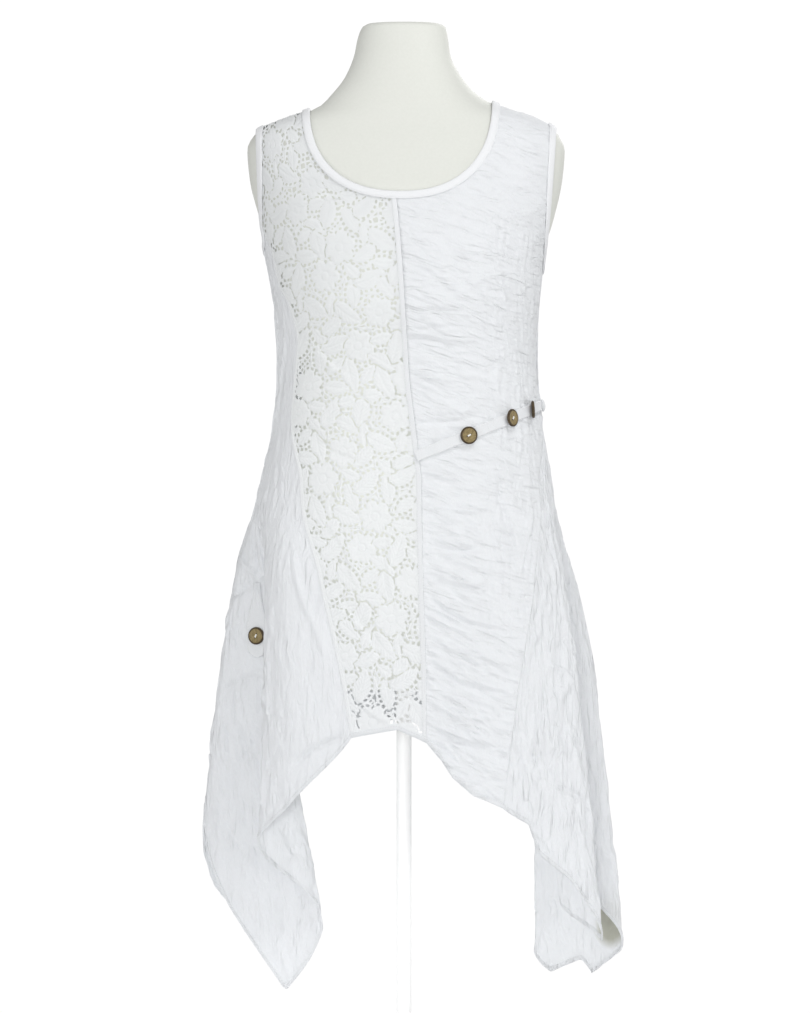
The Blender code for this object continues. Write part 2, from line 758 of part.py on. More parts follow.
def build_buttons(strap_lift, tab_lift, finish):
    for number, x in enumerate(BUTTON_X, 1):
        middle = strap_line(turn_at(x, STRAP_LEVEL))
        turn = turn_of(middle)
        normal = body_normal(turn, middle.z)
        seat = middle + normal * (strap_lift + GAP)
        build_button(f"button_{number}", seat, normal, finish)
    normal = cloth_normal(TAB_STATION, TAB_BUTTON_Z)
    seat = on_cloth(TAB_STATION, TAB_BUTTON_Z) + normal * (tab_lift + GAP + 0.0003)
    build_button("button_4", seat, normal, finish)


# ---- the form and its stand ----
def build_form(finish):
    heights = [row.z for row in FORM]
    heights += [lerp(a.z, b.z, 0.5) for a, b in zip(FORM, FORM[1:]) if a.z - b.z > 0.03]
    form = bmesh.new()
    rings = []
    for z in sorted(heights, reverse=True):
        sides = form_sides(z)
        turns = [360 * k / FORM_SIDES for k in range(FORM_SIDES)]
        rings.append([form.verts.new((*oval(*sides, turn), z)) for turn in turns])
    for upper, lower in zip(rings, rings[1:]):
        for i in range(FORM_SIDES):
            j = (i + 1) % FORM_SIDES
            form.faces.new((upper[i], lower[i], lower[j], upper[j]))
    form.faces.new(rings[0])
    form.faces.new(rings[-1][::-1])
    bmesh.ops.recalc_face_normals(form, faces=form.faces)
    mesh = bpy.data.meshes.new("form_torso")
    form.to_mesh(mesh)
    form.free()
    add_object("form_torso", mesh, finish)


def build_disc(name, radius, low, high, sides, edge, finish):
    form = bmesh.new()
    bmesh.ops.create_cone(
        form, cap_ends=True, segments=sides, radius1=radius, radius2=radius, depth=high - low
    )
    if edge:
        rims = [e for e in form.edges if all(v.co.z > 0 for v in e.verts) and len(e.link_faces) == 2]
        rims = [e for e in rims if any(len(f.verts) > 4 for f in e.link_faces)]
        bmesh.ops.bevel(form, geom=rims, offset=edge, segments=2, affect="EDGES")
    mesh = bpy.data.meshes.new(name)
    form.to_mesh(mesh)
    form.free()
    thing = add_object(name, mesh, finish)
    thing.location.z = (low + high) / 2


def build_stand(finish):
    build_disc("stand_base", BASE_RADIUS, 0.0, BASE_HEIGHT, 48, BASE_EDGE, finish)
    build_disc("stand_pole", POLE_RADIUS, BASE_HEIGHT + GAP, FORM[-1].z - GAP, 20, 0, finish)


def clear_scene():
    for thing in list(bpy.data.objects):
        bpy.data.objects.remove(thing, do_unlink=True)


def main():
    clear_scene()
    linen = material("crinkled_linen", LINEN, 0.9)
    lace = material("cotton_lace", LACE, 0.9)
    build_fronts(linen, lace)
    build_sides(linen)
    build_back(linen)
    build_bindings(linen)
    strap_lift = build_strap(linen)
    tab_lift = build_tab(linen)
    build_buttons(strap_lift, tab_lift, material("coconut_shell", COCONUT, 0.5))
    build_form(material("form_cover", FORM_CREAM, 0.7))
    build_stand(material("stand_paint", STAND_WHITE, 0.4))


main()
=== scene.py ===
import math
from collections import namedtuple

import bmesh
import bpy
import numpy as np
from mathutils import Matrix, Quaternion, Vector
from mathutils.bvhtree import BVHTree


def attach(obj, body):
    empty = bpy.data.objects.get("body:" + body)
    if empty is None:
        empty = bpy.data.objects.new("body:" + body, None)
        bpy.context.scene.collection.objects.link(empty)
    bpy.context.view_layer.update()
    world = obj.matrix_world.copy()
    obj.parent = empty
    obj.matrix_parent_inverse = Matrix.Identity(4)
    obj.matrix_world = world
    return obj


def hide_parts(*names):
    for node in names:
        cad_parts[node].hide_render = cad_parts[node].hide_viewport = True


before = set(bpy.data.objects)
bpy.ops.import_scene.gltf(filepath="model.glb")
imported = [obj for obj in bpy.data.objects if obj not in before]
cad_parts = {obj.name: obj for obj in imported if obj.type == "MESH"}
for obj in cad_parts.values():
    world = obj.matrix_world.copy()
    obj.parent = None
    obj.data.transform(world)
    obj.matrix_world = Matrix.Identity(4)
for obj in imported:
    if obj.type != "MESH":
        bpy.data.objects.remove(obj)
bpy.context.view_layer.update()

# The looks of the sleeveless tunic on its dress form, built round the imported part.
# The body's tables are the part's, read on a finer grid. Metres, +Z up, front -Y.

# ---- the cloth, thinner than the part's solid walls ----
CLOTH = 0.0008          # one layer of cloth
LIFT = 0.0022           # from the body's surface to the middle of the cloth

# ---- the body's shape, as in the part ----
SQUARENESS = 2.3        # exponent of the body's ovals: 2 would be an ellipse
SOFTNESS = 0.85         # how round the folds below the hip are

Section = namedtuple("Section", "z left right front back")
# How far the bare form reaches to each side of its axis, from its neck to its underside.
FORM = (
    Section(1.2310, 0.0440, 0.0440, 0.0440, 0.0440),
    Section(1.2275, 0.0500, 0.0500, 0.0490, 0.0490),
    Section(1.2126, 0.0560, 0.0530, 0.0530, 0.0530),
    Section(1.1946, 0.0596, 0.0556, 0.0560, 0.0560),
    Section(1.1680, 0.0705, 0.0690, 0.0630, 0.0620),
    Section(1.1466, 0.0870, 0.0880, 0.0690, 0.0670),
    Section(1.1310, 0.1030, 0.1150, 0.0730, 0.0710),
    Section(1.1180, 0.1380, 0.1540, 0.0770, 0.0750),
    Section(1.1050, 0.1700, 0.1790, 0.0810, 0.0790),
    Section(1.0950, 0.1820, 0.1870, 0.0860, 0.0830),
    Section(1.0806, 0.1880, 0.1930, 0.0920, 0.0870),
    Section(1.0446, 0.1850, 0.1900, 0.1040, 0.0940),
    Section(1.0026, 0.1745, 0.1810, 0.1160, 0.0980),
    Section(0.9546, 0.1600, 0.1660, 0.1260, 0.0970),
    Section(0.9006, 0.1480, 0.1500, 0.1300, 0.0920),
    Section(0.8466, 0.1330, 0.1340, 0.1140, 0.0820),
    Section(0.8070, 0.1220, 0.1220, 0.1020, 0.0760),
    Section(0.7506, 0.1280, 0.1280, 0.1010, 0.0860),
    Section(0.6846, 0.1400, 0.1400, 0.1050, 0.1020),
    Section(0.6126, 0.1490, 0.1490, 0.1070, 0.1120),
    Section(0.5406, 0.1480, 0.1480, 0.1040, 0.1120),
    Section(0.4686, 0.1400, 0.1400, 0.0970, 0.1040),
    Section(0.4350, 0.1330, 0.1330, 0.0920, 0.0980),
)
# How much further out the cloth hangs than the form.
EASE = (
    Section(1.2310, 0.0000, 0.0000, 0.0000, 0.0000),
    Section(1.0446, 0.0000, 0.0000, 0.0000, 0.0000),
    Section(1.0026, 0.0000, 0.0000, 0.0005, 0.0010),
    Section(0.9546, 0.0040, 0.0015, 0.0030, 0.0050),
    Section(0.9006, 0.0060, 0.0100, 0.0040, 0.0080),
    Section(0.8466, 0.0150, 0.0215, 0.0130, 0.0150),
    Section(0.8070, 0.0260, 0.0340, 0.0220, 0.0210),
    Section(0.7506, 0.0260, 0.0350, 0.0230, 0.0180),
    Section(0.6846, 0.0280, 0.0340, 0.0220, 0.0160),
    Section(0.6126, 0.0330, 0.0340, 0.0250, 0.0180),
    Section(0.5406, 0.0500, 0.0540, 0.0300, 0.0220),
)
# Seams above the hip: the first two as X, the others as turns in degrees round the body.
Seams = namedtuple("Seams", "z lace centre right left_back right_back")
SEAMS = (
    Seams(1.0214, -0.1720, -0.0096, 276, 128, 232),
    Seams(0.9942, -0.1690, -0.0066, 276, 128, 232),
    Seams(0.9510, -0.1540, -0.0030, 276, 129, 231),
    Seams(0.9150, -0.1464, -0.0005, 276, 131, 229),
    Seams(0.8946, -0.1356, 0.0008, 276, 132, 228),
    Seams(0.8466, -0.1248, 0.0036, 276, 135, 225),
    Seams(0.8070, -0.1284, 0.0060, 277, 138, 222),
    Seams(0.7506, -0.1320, 0.0126, 281, 140, 221),
    Seams(0.6846, -0.1212, 0.0204, 297, 142, 220),
)
HIP_Z = 0.6846          # the cloth follows the body above this and its folds below
UPPER_Z = 0.5766
MIDDLE_Z = 0.4326
LOW_Z = 0.1446
# Plan points (X, Y) of each fold at the three lower heights, and its turn at the hip.
Fold = namedtuple("Fold", "name turn upper middle low")
FOLDS = (
    Fold("centre_seam", None, (0.022, -0.136), (0.026, -0.143), (0.028, -0.150)),
    Fold("lace_seam", None, (-0.101, -0.128), (-0.070, -0.140), (-0.030, -0.148)),
    Fold("left_ridge", 52, (-0.142, -0.113), (-0.138, -0.124), (-0.130, -0.130)),
    Fold("left_fold", 69, (-0.163, -0.080), (-0.165, -0.094), (-0.173, -0.104)),
    Fold("left_tuck", 79, (-0.158, -0.048), (-0.142, -0.054), (-0.093, -0.056)),
    Fold("left_edge", 92, (-0.197, -0.012), (-0.221, -0.008), (-0.250, -0.004)),
    Fold("left_tail", 112, (-0.180, 0.055), (-0.184, 0.064), (-0.178, 0.060)),
    Fold("left_back", None, (-0.115, 0.122), (-0.112, 0.136), (-0.100, 0.132)),
    Fold("back_centre", 180, (0.000, 0.138), (0.000, 0.152), (0.000, 0.155)),
    Fold("right_back", None, (0.112, 0.126), (0.110, 0.140), (0.100, 0.138)),
    Fold("right_return", 230, (0.146, 0.108), (0.176, 0.122), (0.206, 0.116)),
    Fold("right_drop", 238, (0.164, 0.083), (0.157, 0.086), (0.157, 0.076)),
    Fold("right_hang", 252, (0.190, 0.046), (0.210, 0.048), (0.226, 0.046)),
    Fold("right_edge", 267, (0.199, 0.004), (0.228, 0.000), (0.260, -0.002)),
    Fold("right_tuck", 278, (0.168, -0.042), (0.168, -0.050), (0.187, -0.050)),
    Fold("right_fold", 287, (0.188, -0.068), (0.206, -0.082), (0.232, -0.094)),
    Fold("right_seam", None, (0.154, -0.109), (0.133, -0.129), (0.097, -0.142)),
)
STATION = {fold.name: number for number, fold in enumerate(FOLDS)}
RING = len(FOLDS)
# A station is a place round the garment: 0 at the centre seam, and 1 more at each fold.
Corner = namedtuple("Corner", "station z")
HEM = (
    Corner(0.00, 0.3750), Corner(0.40, 0.3906), Corner(1.00, 0.3810), Corner(2.00, 0.3006),
    Corner(3.00, 0.2598), Corner(4.00, 0.1746), Corner(4.38, 0.0750), Corner(5.00, 0.2934),
    Corner(5.12, 0.2480), Corner(5.40, 0.1974), Corner(6.00, 0.1326), Corner(7.00, 0.3650),
    Corner(8.00, 0.3960), Corner(9.00, 0.3300), Corner(10.00, 0.2000), Corner(11.00, 0.1146),
    Corner(11.40, 0.0894), Corner(11.80, 0.1062), Corner(12.00, 0.0894), Corner(13.00, 0.1290),
    Corner(13.50, 0.1878), Corner(14.00, 0.1806), Corner(15.00, 0.1386), Corner(15.20, 0.1698),
    Corner(15.41, 0.2118), Corner(15.65, 0.2430), Corner(15.74, 0.2790), Corner(16.00, 0.2980),
    Corner(16.41, 0.3126), Corner(16.67, 0.3342), Corner(16.81, 0.3546), Corner(17.00, 0.3750),
)
FLOOR_LEFT = (
    Corner(1.0, 0.9942), Corner(2.5, 0.9690), Corner(4.5, 0.9620), Corner(6.0, 0.9760),
    Corner(7.0, 1.0050),
)
FLOOR_RIGHT = (
    Corner(9.0, 1.0050), Corner(10.5, 0.9700), Corner(12.5, 0.9460), Corner(14.5, 0.9400),
    Corner(16.0, 0.9460),
)
RIDGE_FOOT = 1.0806
RIDGE_TOP = 1.2275
NECK_CENTRE = -0.0036
NECK_HALF_WIDTH = 0.109
NECK_BOTTOM_FRONT = 1.0234
NECK_BOTTOM_BACK = 1.0790
NECK_CENTRE_SHARE = 0.022
Armhole = namedtuple("Armhole", "bottom_x bottom_z top_x top_z bow")
ARMHOLES = {
    "front_left": Armhole(-0.1690, 0.9942, -0.1740, 1.1040, 0.85),
    "front_right": Armhole(0.1650, 0.9460, 0.1790, 1.1060, 0.85),
    "back_left": Armhole(-0.1420, 1.0050, -0.1740, 1.1040, 0.7),
    "back_right": Armhole(0.1475, 1.0050, 0.1790, 1.1060, 0.7),
}
STRAP_START = (0.0140, 0.7120)
STRAP_SLOPE = 0.408
STRAP_END_TURN = 262
STRAP_LEVEL = 0.745
TAB_TOP = 0.562
TAB_BOTTOM = 0.473
TAB_STATION = 4.43
TAB_TOP_WIDTH = 0.010
TAB_WIDTH = 0.028
BUTTON_RADIUS = 0.0105
BUTTON_HEIGHT = 0.0034
BUTTON_X = (0.0740, 0.1250, 0.1500)
TAB_BUTTON_Z = 0.4985
BUTTON_LIFT = 0.0055    # from the body's surface to a strap button's underside
TAB_BUTTON_LIFT = 0.0056

# ---- how finely the cloth is drawn ----
FRONT_PITCH = 0.0022
LACE_PITCH = 0.0012
SIDE_PITCH = 0.0034
BACK_PITCH = 0.0036


# ---- curves and tables, for arrays ----
def lerp(a, b, share):
    return a + (b - a) * share


def smoothstep(low, high, value):
    share = np.clip((value - low) / (high - low), 0, 1)
    return share * share * (3 - 2 * share)


def through(places, values, at):
    """A curve with no overshoot through (place, value) pairs, with places rising."""
    places = np.asarray(places, float)
    values = np.asarray(values, float)
    spans = np.diff(places)
    slopes = np.diff(values) / spans
    before, after = slopes[:-1], slopes[1:]
    total = np.where(before + after == 0, 1, before + after)
    middle = np.where(before * after > 0, 2 * before * after / total, 0)
    bends = np.concatenate(([slopes[0]], middle, [slopes[-1]]))
    at = np.clip(at, places[0], places[-1])
    i = np.clip(np.searchsorted(places, at, side="right") - 1, 0, len(spans) - 1)
    t = (at - places[i]) / spans[i]
    start = (1 + 2 * t) * (1 - t) ** 2 * values[i] + t * t * (3 - 2 * t) * values[i + 1]
    return start + spans[i] * t * (1 - t) * ((1 - t) * bends[i] - t * bends[i + 1])


def column(table, name, at, key="z"):
    rows = sorted(table, key=lambda row: getattr(row, key))
    places = [getattr(row, key) for row in rows]
    return through(places, [getattr(row, name) for row in rows], at)


def hem_height(station):
    return np.interp(station, [row.station for row in HEM], [row.z for row in HEM])


def noise(u, v, seed):
    """Smooth noise of two arrays, about -1 to 1 and the same in every run."""
    i = np.floor(u).astype(np.int64)
    j = np.floor(v).astype(np.int64)
    fu, fv = u - i, v - j

    def corner(di, dj):
        mixed = (i + di) * 374761393 + (j + dj) * 668265263 + seed * 97471
        mixed = ((mixed ^ (mixed >> 13)) * 1274126177) & 0xFFFFFFFF
        angle = ((mixed ^ (mixed >> 16)) % 1024) / 1024 * math.tau
        return np.cos(angle) * (fu - di) + np.sin(angle) * (fv - dj)

    su = fu * fu * fu * (fu * (fu * 6 - 15) + 10)
    sv = fv * fv * fv * (fv * (fv * 6 - 15) + 10)
    low = lerp(corner(0, 0), corner(1, 0), su)
    high = lerp(corner(0, 1), corner(1, 1), su)
    return lerp(low, high, sv) * 1.5


# ---- the body and the hanging cloth, for arrays ----
def power(value):
    return np.sign(value) * np.abs(value) ** (2 / SQUARENESS)


def form_sides(z):
    return tuple(column(FORM, name, z) for name in ("left", "right", "front", "back"))


def cloth_sides(z):
    names = ("left", "right", "front", "back")
    return tuple(form + column(EASE, name, z) for form, name in zip(form_sides(z), names))


def oval(sides, turn):
    left, right, front, back = sides
    across = power(np.sin(np.radians(turn)))
    ahead = power(np.cos(np.radians(turn)))
    x = -across * np.where(across > 0, left, right)
    return x, -ahead * np.where(ahead > 0, front, back)


def on_body(turn, z):
    turn, z = np.broadcast_arrays(np.asarray(turn, float), np.asarray(z, float))
    x, y = oval(cloth_sides(z), turn)
    return np.stack((x, y, z), axis=-1)


def unit(vectors):
    return vectors / np.maximum(np.linalg.norm(vectors, axis=-1, keepdims=True), 1e-12)


def body_normal(turn, z):
    step, rise = 1.5, 0.002
    round_it = on_body(turn + step, z) - on_body(turn - step, z)
    up_it = on_body(turn, z + rise) - on_body(turn, z - rise)
    return unit(np.cross(up_it, round_it))


def ridge_z(x):
    """How high the shoulder's ridge stands at this X."""
    x = np.asarray(x, float)
    low = np.full(x.shape, RIDGE_FOOT)
    high = np.full(x.shape, RIDGE_TOP)
    for _ in range(30):
        middle = (low + high) / 2
        side = np.where(x < 0, column(FORM, "left", middle), column(FORM, "right", middle))
        inside = side > np.abs(x)
        low = np.where(inside, middle, low)
        high = np.where(inside, high, middle)
    return low


def turn_at(x, z, back=False):
    left, right, _, _ = cloth_sides(z)
    share = np.minimum(1.0, np.abs(x) / np.where(np.asarray(x) < 0, left, right))
    angle = np.degrees(np.arcsin(share ** (SQUARENESS / 2)))
    if back:
        angle = 180 - angle
    return np.where(np.asarray(x) < 0, angle, 360 - angle)


def turn_of(points):
    x, y, z = points[..., 0], points[..., 1], points[..., 2]
    left, right, front, back = cloth_sides(z)
    across = (np.abs(x) / np.where(x < 0, left, right)) ** (SQUARENESS / 2)
    ahead = (np.abs(y) / np.where(y < 0, front, back)) ** (SQUARENESS / 2)
    return np.degrees(np.arctan2(np.copysign(across, -x), np.copysign(ahead, -y))) % 360


def seam_turn(name, z):
    if name == "centre_seam":
        return turn_at(column(SEAMS, "centre", z), z)
    if name == "lace_seam":
        return turn_at(column(SEAMS, "lace", z), z)
    return column(SEAMS, {"right_seam": "right"}.get(name, name), z)


def seam_turns(z):
    centre = seam_turn("centre_seam", z)
    centre = np.where(centre > 180, centre - 360, centre)
    turns = [(0, centre)]
    for name in ("lace_seam", "left_back", "right_back", "right_seam"):
        turns.append((STATION[name], seam_turn(name, z)))
    return turns + [(RING, centre + 360)]


HIP_TURNS = [fold.turn for fold in FOLDS] + [None]
for seam_station, seam_angle in seam_turns(np.array(HIP_Z)):
    HIP_TURNS[seam_station] = float(seam_angle)


def hip_turn(station):
    return np.interp(station, range(RING + 1), HIP_TURNS)


def turn_on(station, z):
    """The turn of a station at a height above the hip, kept between its panel's seams."""
    seams = seam_turns(z)
    turn = np.zeros(np.broadcast(station, z).shape)
    for (first, low), (last, high) in zip(seams, seams[1:]):
        share = (hip_turn(station) - HIP_TURNS[first]) / (HIP_TURNS[last] - HIP_TURNS[first])
        turn = np.where((station >= first) & (station <= last), lerp(low, high, share), turn)
    return turn


def anchors(z):
    """The plan points of every station at each height below the hip."""
    places = (LOW_Z, MIDDLE_Z, UPPER_Z, HIP_Z)
    points = []
    for number, fold in enumerate(FOLDS):
        hip = on_body(HIP_TURNS[number], HIP_Z)
        x = through(places, (fold.low[0], fold.middle[0], fold.upper[0], hip[0]), z)
        y = through(places, (fold.low[1], fold.middle[1], fold.upper[1], hip[1]), z)
        points.append(np.stack((x, y), axis=-1))
    return np.array(points)


def ring_points(station, z):
    """The folded ring below the hip, a smooth curve through its stations."""
    posts = anchors(z)
    rows = np.arange(len(z))
    whole = np.minimum(station.astype(int), RING - 1)
    a, b, c, d = (posts[(whole + step) % RING, rows] for step in (-1, 0, 1, 2))
    before, span, after = (
        np.linalg.norm(end - start, axis=-1, keepdims=True) for start, end in ((a, b), (b, c), (c, d))
    )
    leave = ((b - a) / before * span + (c - b) / span * before) / (before + span)
    arrive = ((c - b) / span * after + (d - c) / after * span) / (span + after)
    t = (station - whole)[:, None]
    point = (1 + 2 * t) * (1 - t) ** 2 * b + t * t * (3 - 2 * t) * c
    return point + span * SOFTNESS * t * (1 - t) * ((1 - t) * leave - t * arrive)


def on_cloth(station, z):
    """Points of the garment's tube at arrays of stations and heights."""
    station, z = np.broadcast_arrays(np.asarray(station, float), np.asarray(z, float))
    shape = station.shape
    station, z = station.ravel(), z.ravel()
    points = on_body(turn_on(station, z), z)
    folded = np.where(z < HIP_Z, smoothstep(HIP_Z, UPPER_Z, z), 0)[:, None]
    points[:, :2] = lerp(points[:, :2], ring_points(station, z), folded)
    return points.reshape(*shape, 3)


def neck_point(side_share, back=False):
    """X and Z on the neckline: -1 is the left shoulder, 0 the middle and 1 the right."""
    side_share = np.asarray(side_share, float)
    angle = np.radians(90 * side_share)
    bottom = NECK_BOTTOM_BACK if back else NECK_BOTTOM_FRONT
    top = ridge_z(NECK_CENTRE + np.copysign(NECK_HALF_WIDTH, side_share))
    x = NECK_CENTRE + NECK_HALF_WIDTH * power(np.sin(angle))
    return x, np.minimum(lerp(top, bottom, power(np.cos(angle))), ridge_z(x))


def armhole_point(name, share):
    edge = ARMHOLES[name]
    x = lerp(edge.bottom_x, edge.top_x, share**edge.bow)
    return x, np.minimum(lerp(edge.bottom_z, edge.top_z, share), ridge_z(x))


def strap_turn(x, z, back, share):
    return np.where(share >= 1.0, np.where(x < 0, 90.0, 270.0), turn_at(x, z, back))


def strap_point(name, across, share):
    """The turn and height on a strap: across from armhole to neck, share from below to shoulder."""
    back = name.startswith("back")
    side = -1 if name.endswith("left") else 1
    start = 0.0 if back else (NECK_CENTRE_SHARE if side < 0 else -NECK_CENTRE_SHARE)
    neck_x, neck_z = neck_point(side * lerp(start, 1.0, share), back)
    arm_x, arm_z = armhole_point(name, share)
    arm_turn = strap_turn(arm_x, arm_z, back, share)
    neck_turn = strap_turn(neck_x, neck_z, back, share)
    if side > 0:
        neck_turn = np.where(neck_turn < 90, neck_turn + 360, neck_turn)
    else:
        neck_turn = np.where(neck_turn > 270, neck_turn - 360, neck_turn)
    return lerp(arm_turn, neck_turn, across), lerp(arm_z, neck_z, across)


# ---- materials ----
def add_node(made, kind, constants=None, **settings):
    """A shader node with its settings, then the constants on its inputs."""
    node = made.node_tree.nodes.new(kind)
    for name, value in settings.items():
        setattr(node, name, value)
    for name, value in (constants or {}).items():
        node.inputs[name].default_value = value
    return node


def join(made, *pairs):
    """Links each output to the input beside it."""
    for output, entry in pairs:
        made.node_tree.links.new(output, entry)


def shader_of(made):
    return made.node_tree.nodes["Principled BSDF"]


TONE_PLACES = (0.35, 0.65)      # where a grain's dim and full tones begin
GRAIN_DEPTH = 0.0004


def principled(name, colour, roughness, sheen=0.0):
    made = bpy.data.materials.new(name)
    made.use_nodes = True
    shader = made.node_tree.nodes["Principled BSDF"]
    shader.inputs["Base Color"].default_value = (*colour, 1)
    shader.inputs["Roughness"].default_value = roughness
    shader.inputs["Sheen Weight"].default_value = sheen
    shader.inputs["Sheen Roughness"].default_value = 0.6
    shader.inputs["Specular IOR Level"].default_value = 0.3
    return made


def let_through(made, colour, share):
    """Lets some light through a cloth from its other side."""
    behind = add_node(made, "ShaderNodeBsdfTranslucent", {"Color": (*colour, 1)})
    mix = add_node(made, "ShaderNodeMixShader", {"Fac": share})
    join(
        made,
        (shader_of(made).outputs["BSDF"], mix.inputs[1]),
        (behind.outputs["BSDF"], mix.inputs[2]),
        (mix.outputs["Shader"], made.node_tree.nodes["Material Output"].inputs["Surface"]),
    )
    return made


def give_light(made, colour, low, high, strength):
    """Painted light: a glow below a height, fading out above it, for what stands in thin cloth's shade.
    """
    place = add_node(made, "ShaderNodeTexCoord")
    parts = add_node(made, "ShaderNodeSeparateXYZ")
    limits = {"From Min": low, "From Max": high, "To Min": strength, "To Max": 0.0}
    fade = add_node(made, "ShaderNodeMapRange", limits)
    shader = shader_of(made)
    shader.inputs["Emission Color"].default_value = (*colour, 1)
    join(
        made,
        (place.outputs["Object"], parts.inputs["Vector"]),
        (parts.outputs["Z"], fade.inputs["Value"]),
        (fade.outputs["Result"], shader.inputs["Emission Strength"]),
    )
    return made


def patterned(name, low, high, roughness, scale, stretch=(1, 1, 1), bump=0.0, sheen=0.0):
    """A material whose colour wanders between two tones, with a fine grain in its surface."""
    made = principled(name, high, roughness, sheen)
    place = add_node(made, "ShaderNodeTexCoord")
    mapping = add_node(made, "ShaderNodeMapping", {"Scale": stretch})
    grain = add_node(made, "ShaderNodeTexNoise", {"Scale": scale, "Detail": 3})
    ramp = add_node(made, "ShaderNodeValToRGB")
    for element, position, tone in zip(ramp.color_ramp.elements, TONE_PLACES, (low, high)):
        element.position = position
        element.color = (*tone, 1)
    join(
        made,
        (place.outputs["Object"], mapping.inputs["Vector"]),
        (mapping.outputs["Vector"], grain.inputs["Vector"]),
        (grain.outputs["Fac"], ramp.inputs["Fac"]),
        (ramp.outputs["Color"], shader_of(made).inputs["Base Color"]),
    )
    if bump:
        depth = {"Strength": bump, "Distance": GRAIN_DEPTH}
        relief = add_node(made, "ShaderNodeBump", depth)
        join(
            made,
            (grain.outputs["Fac"], relief.inputs["Height"]),
            (relief.outputs["Normal"], shader_of(made).inputs["Normal"]),
        )
    return made


def crush(made, stretch, tilt, scale, depth):
    """Adds fine sharp creases to a cloth's surface, longer one way than the other."""
    place = add_node(made, "ShaderNodeTexCoord")
    turned = {"Scale": stretch, "Rotation": (0, tilt, 0)}
    mapping = add_node(made, "ShaderNodeMapping", turned, vector_type="TEXTURE")
    wander = {"Scale": scale, "Detail": 2.5, "Distortion": 0.5}
    puffs = add_node(made, "ShaderNodeTexNoise", wander)
    centred = add_node(made, "ShaderNodeMath", {1: 0.5}, operation="SUBTRACT")
    valleys = add_node(made, "ShaderNodeMath", operation="ABSOLUTE")
    under = made.node_tree.nodes.get("Bump")
    relief = add_node(made, "ShaderNodeBump", {"Strength": 1.0, "Distance": depth})
    join(
        made,
        (place.outputs["Object"], mapping.inputs["Vector"]),
        (mapping.outputs["Vector"], puffs.inputs["Vector"]),
        (puffs.outputs["Fac"], centred.inputs[0]),
        (centred.outputs["Value"], valleys.inputs[0]),
        (valleys.outputs["Value"], relief.inputs["Height"]),
        (relief.outputs["Normal"], shader_of(made).inputs["Normal"]),
    )
    if under:
        join(made, (under.outputs["Normal"], relief.inputs["Normal"]))
    return made


PaintedShade = namedtuple("PaintedShade", "x z half_width half_height")
PAINTED_SHADE_FADE = 0.35       # how far in from its edge the painted shade is at its darkest, as a share


def inside_with_painted_shade(name, colour, dark, spot):
    """The cloth's inner side: the same white, but with olive painted shade in the depth of one closed
    fold.
    """
    made = principled(name, colour, 0.9)
    place = add_node(made, "ShaderNodeTexCoord")
    size = {
        "Location": (-spot.x / spot.half_width, 0, -spot.z / spot.half_height),
        "Scale": (1 / spot.half_width, 0, 1 / spot.half_height),
    }
    mapping = add_node(made, "ShaderNodeMapping", size)
    ball = add_node(made, "ShaderNodeTexGradient", gradient_type="SPHERICAL")
    ramp = add_node(made, "ShaderNodeMapRange", {"From Max": PAINTED_SHADE_FADE})
    tones = {"A": (*colour, 1), "B": (*dark, 1)}
    mix = add_node(made, "ShaderNodeMix", tones, data_type="RGBA")
    join(
        made,
        (place.outputs["Object"], mapping.inputs["Vector"]),
        (mapping.outputs["Vector"], ball.inputs["Vector"]),
        (ball.outputs["Fac"], ramp.inputs["Value"]),
        (ramp.outputs["Result"], mix.inputs["Factor"]),
        (mix.outputs["Result"], shader_of(made).inputs["Base Color"]),
    )
    return made


# ---- meshes ----
def add_object(name, mesh, finish, nodes=(), angle=60):
    thing = bpy.data.objects.new(name, mesh)
    mesh.materials.append(finish)
    bpy.context.scene.collection.objects.link(thing)
    mesh.shade_smooth()
    mesh.set_sharp_from_angle(angle=math.radians(angle))
    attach(thing, "root")
    if nodes:
        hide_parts(*nodes)
    return thing


def mesh_of(name, points, faces):
    mesh = bpy.data.meshes.new(name)
    mesh.from_pydata(np.asarray(points).tolist(), [], [list(face) for face in faces])
    mesh.update()
    return mesh


def reworked(mesh, work):
    """Changes a mesh by a function of its bmesh."""
    form = bmesh.new()
    form.from_mesh(mesh)
    work(form)
    form.to_mesh(mesh)
    form.free()


def face_outward(form):
    bmesh.ops.recalc_face_normals(form, faces=form.faces)


def end_faces(rows, cols):
    """The two faces that close a tube of rings at its ends."""
    return [tuple(range(cols)), tuple((rows - 1) * cols + k for k in range(cols))[::-1]]


def grid_faces(rows, cols, first=0, wrap_rows=False, wrap_cols=False):
    """Quads of a grid of points stored row after row."""
    faces = []
    for i in range(rows if wrap_rows else rows - 1):
        low, high = first + i * cols, first + (i + 1) % rows * cols
        for j in range(cols if wrap_cols else cols - 1):
            k = (j + 1) % cols
            faces.append((low + j, low + k, high + k, high + j))
    return faces


def add_wall(thing, wall):
    """Gives a sheet its thickness, half to each side."""
    solid = thing.modifiers.new("wall", "SOLIDIFY")
    solid.thickness = wall
    solid.offset = 0


# ---- panels as fine grids ----
Panel = namedtuple("Panel", "points normals across down station from_hem from_side height_z")
NORMAL_PASSES = 3       # how far the offset directions are evened out over a sharp fold
FOLD_RADIUS = 0.008     # crinkles fade out where a fold is tighter than this
LEAST_STEP = 0.0004     # the shortest step that a fold's bend is read from
RAY_START = 0.0008      # a look for other layers starts this far from the cloth
ROOM_SHARE = 0.42       # of the way to another layer that a crinkle may take
LEAST_LIFT = 0.0006     # from the body's surface to the lowest crinkle
LOW_PASSES = 3
SMOOTH_PASSES = 6
FILL_SHARE = 0.55       # the least a cut fills of its stated width times length
CREASE_GAIN = 1.4       # front and side creases are this much deeper than their tables say
PROBE_HEIGHTS = (0.90, HIP_Z, MIDDLE_Z, 0.25)   # where a panel's width is read
PROBE_STEPS = 30
STRAP_REACH = 0.12      # about how long a strap is
SHOULDER_CROWDING = 1.6     # over 1 brings a strap's rows closer towards the shoulder


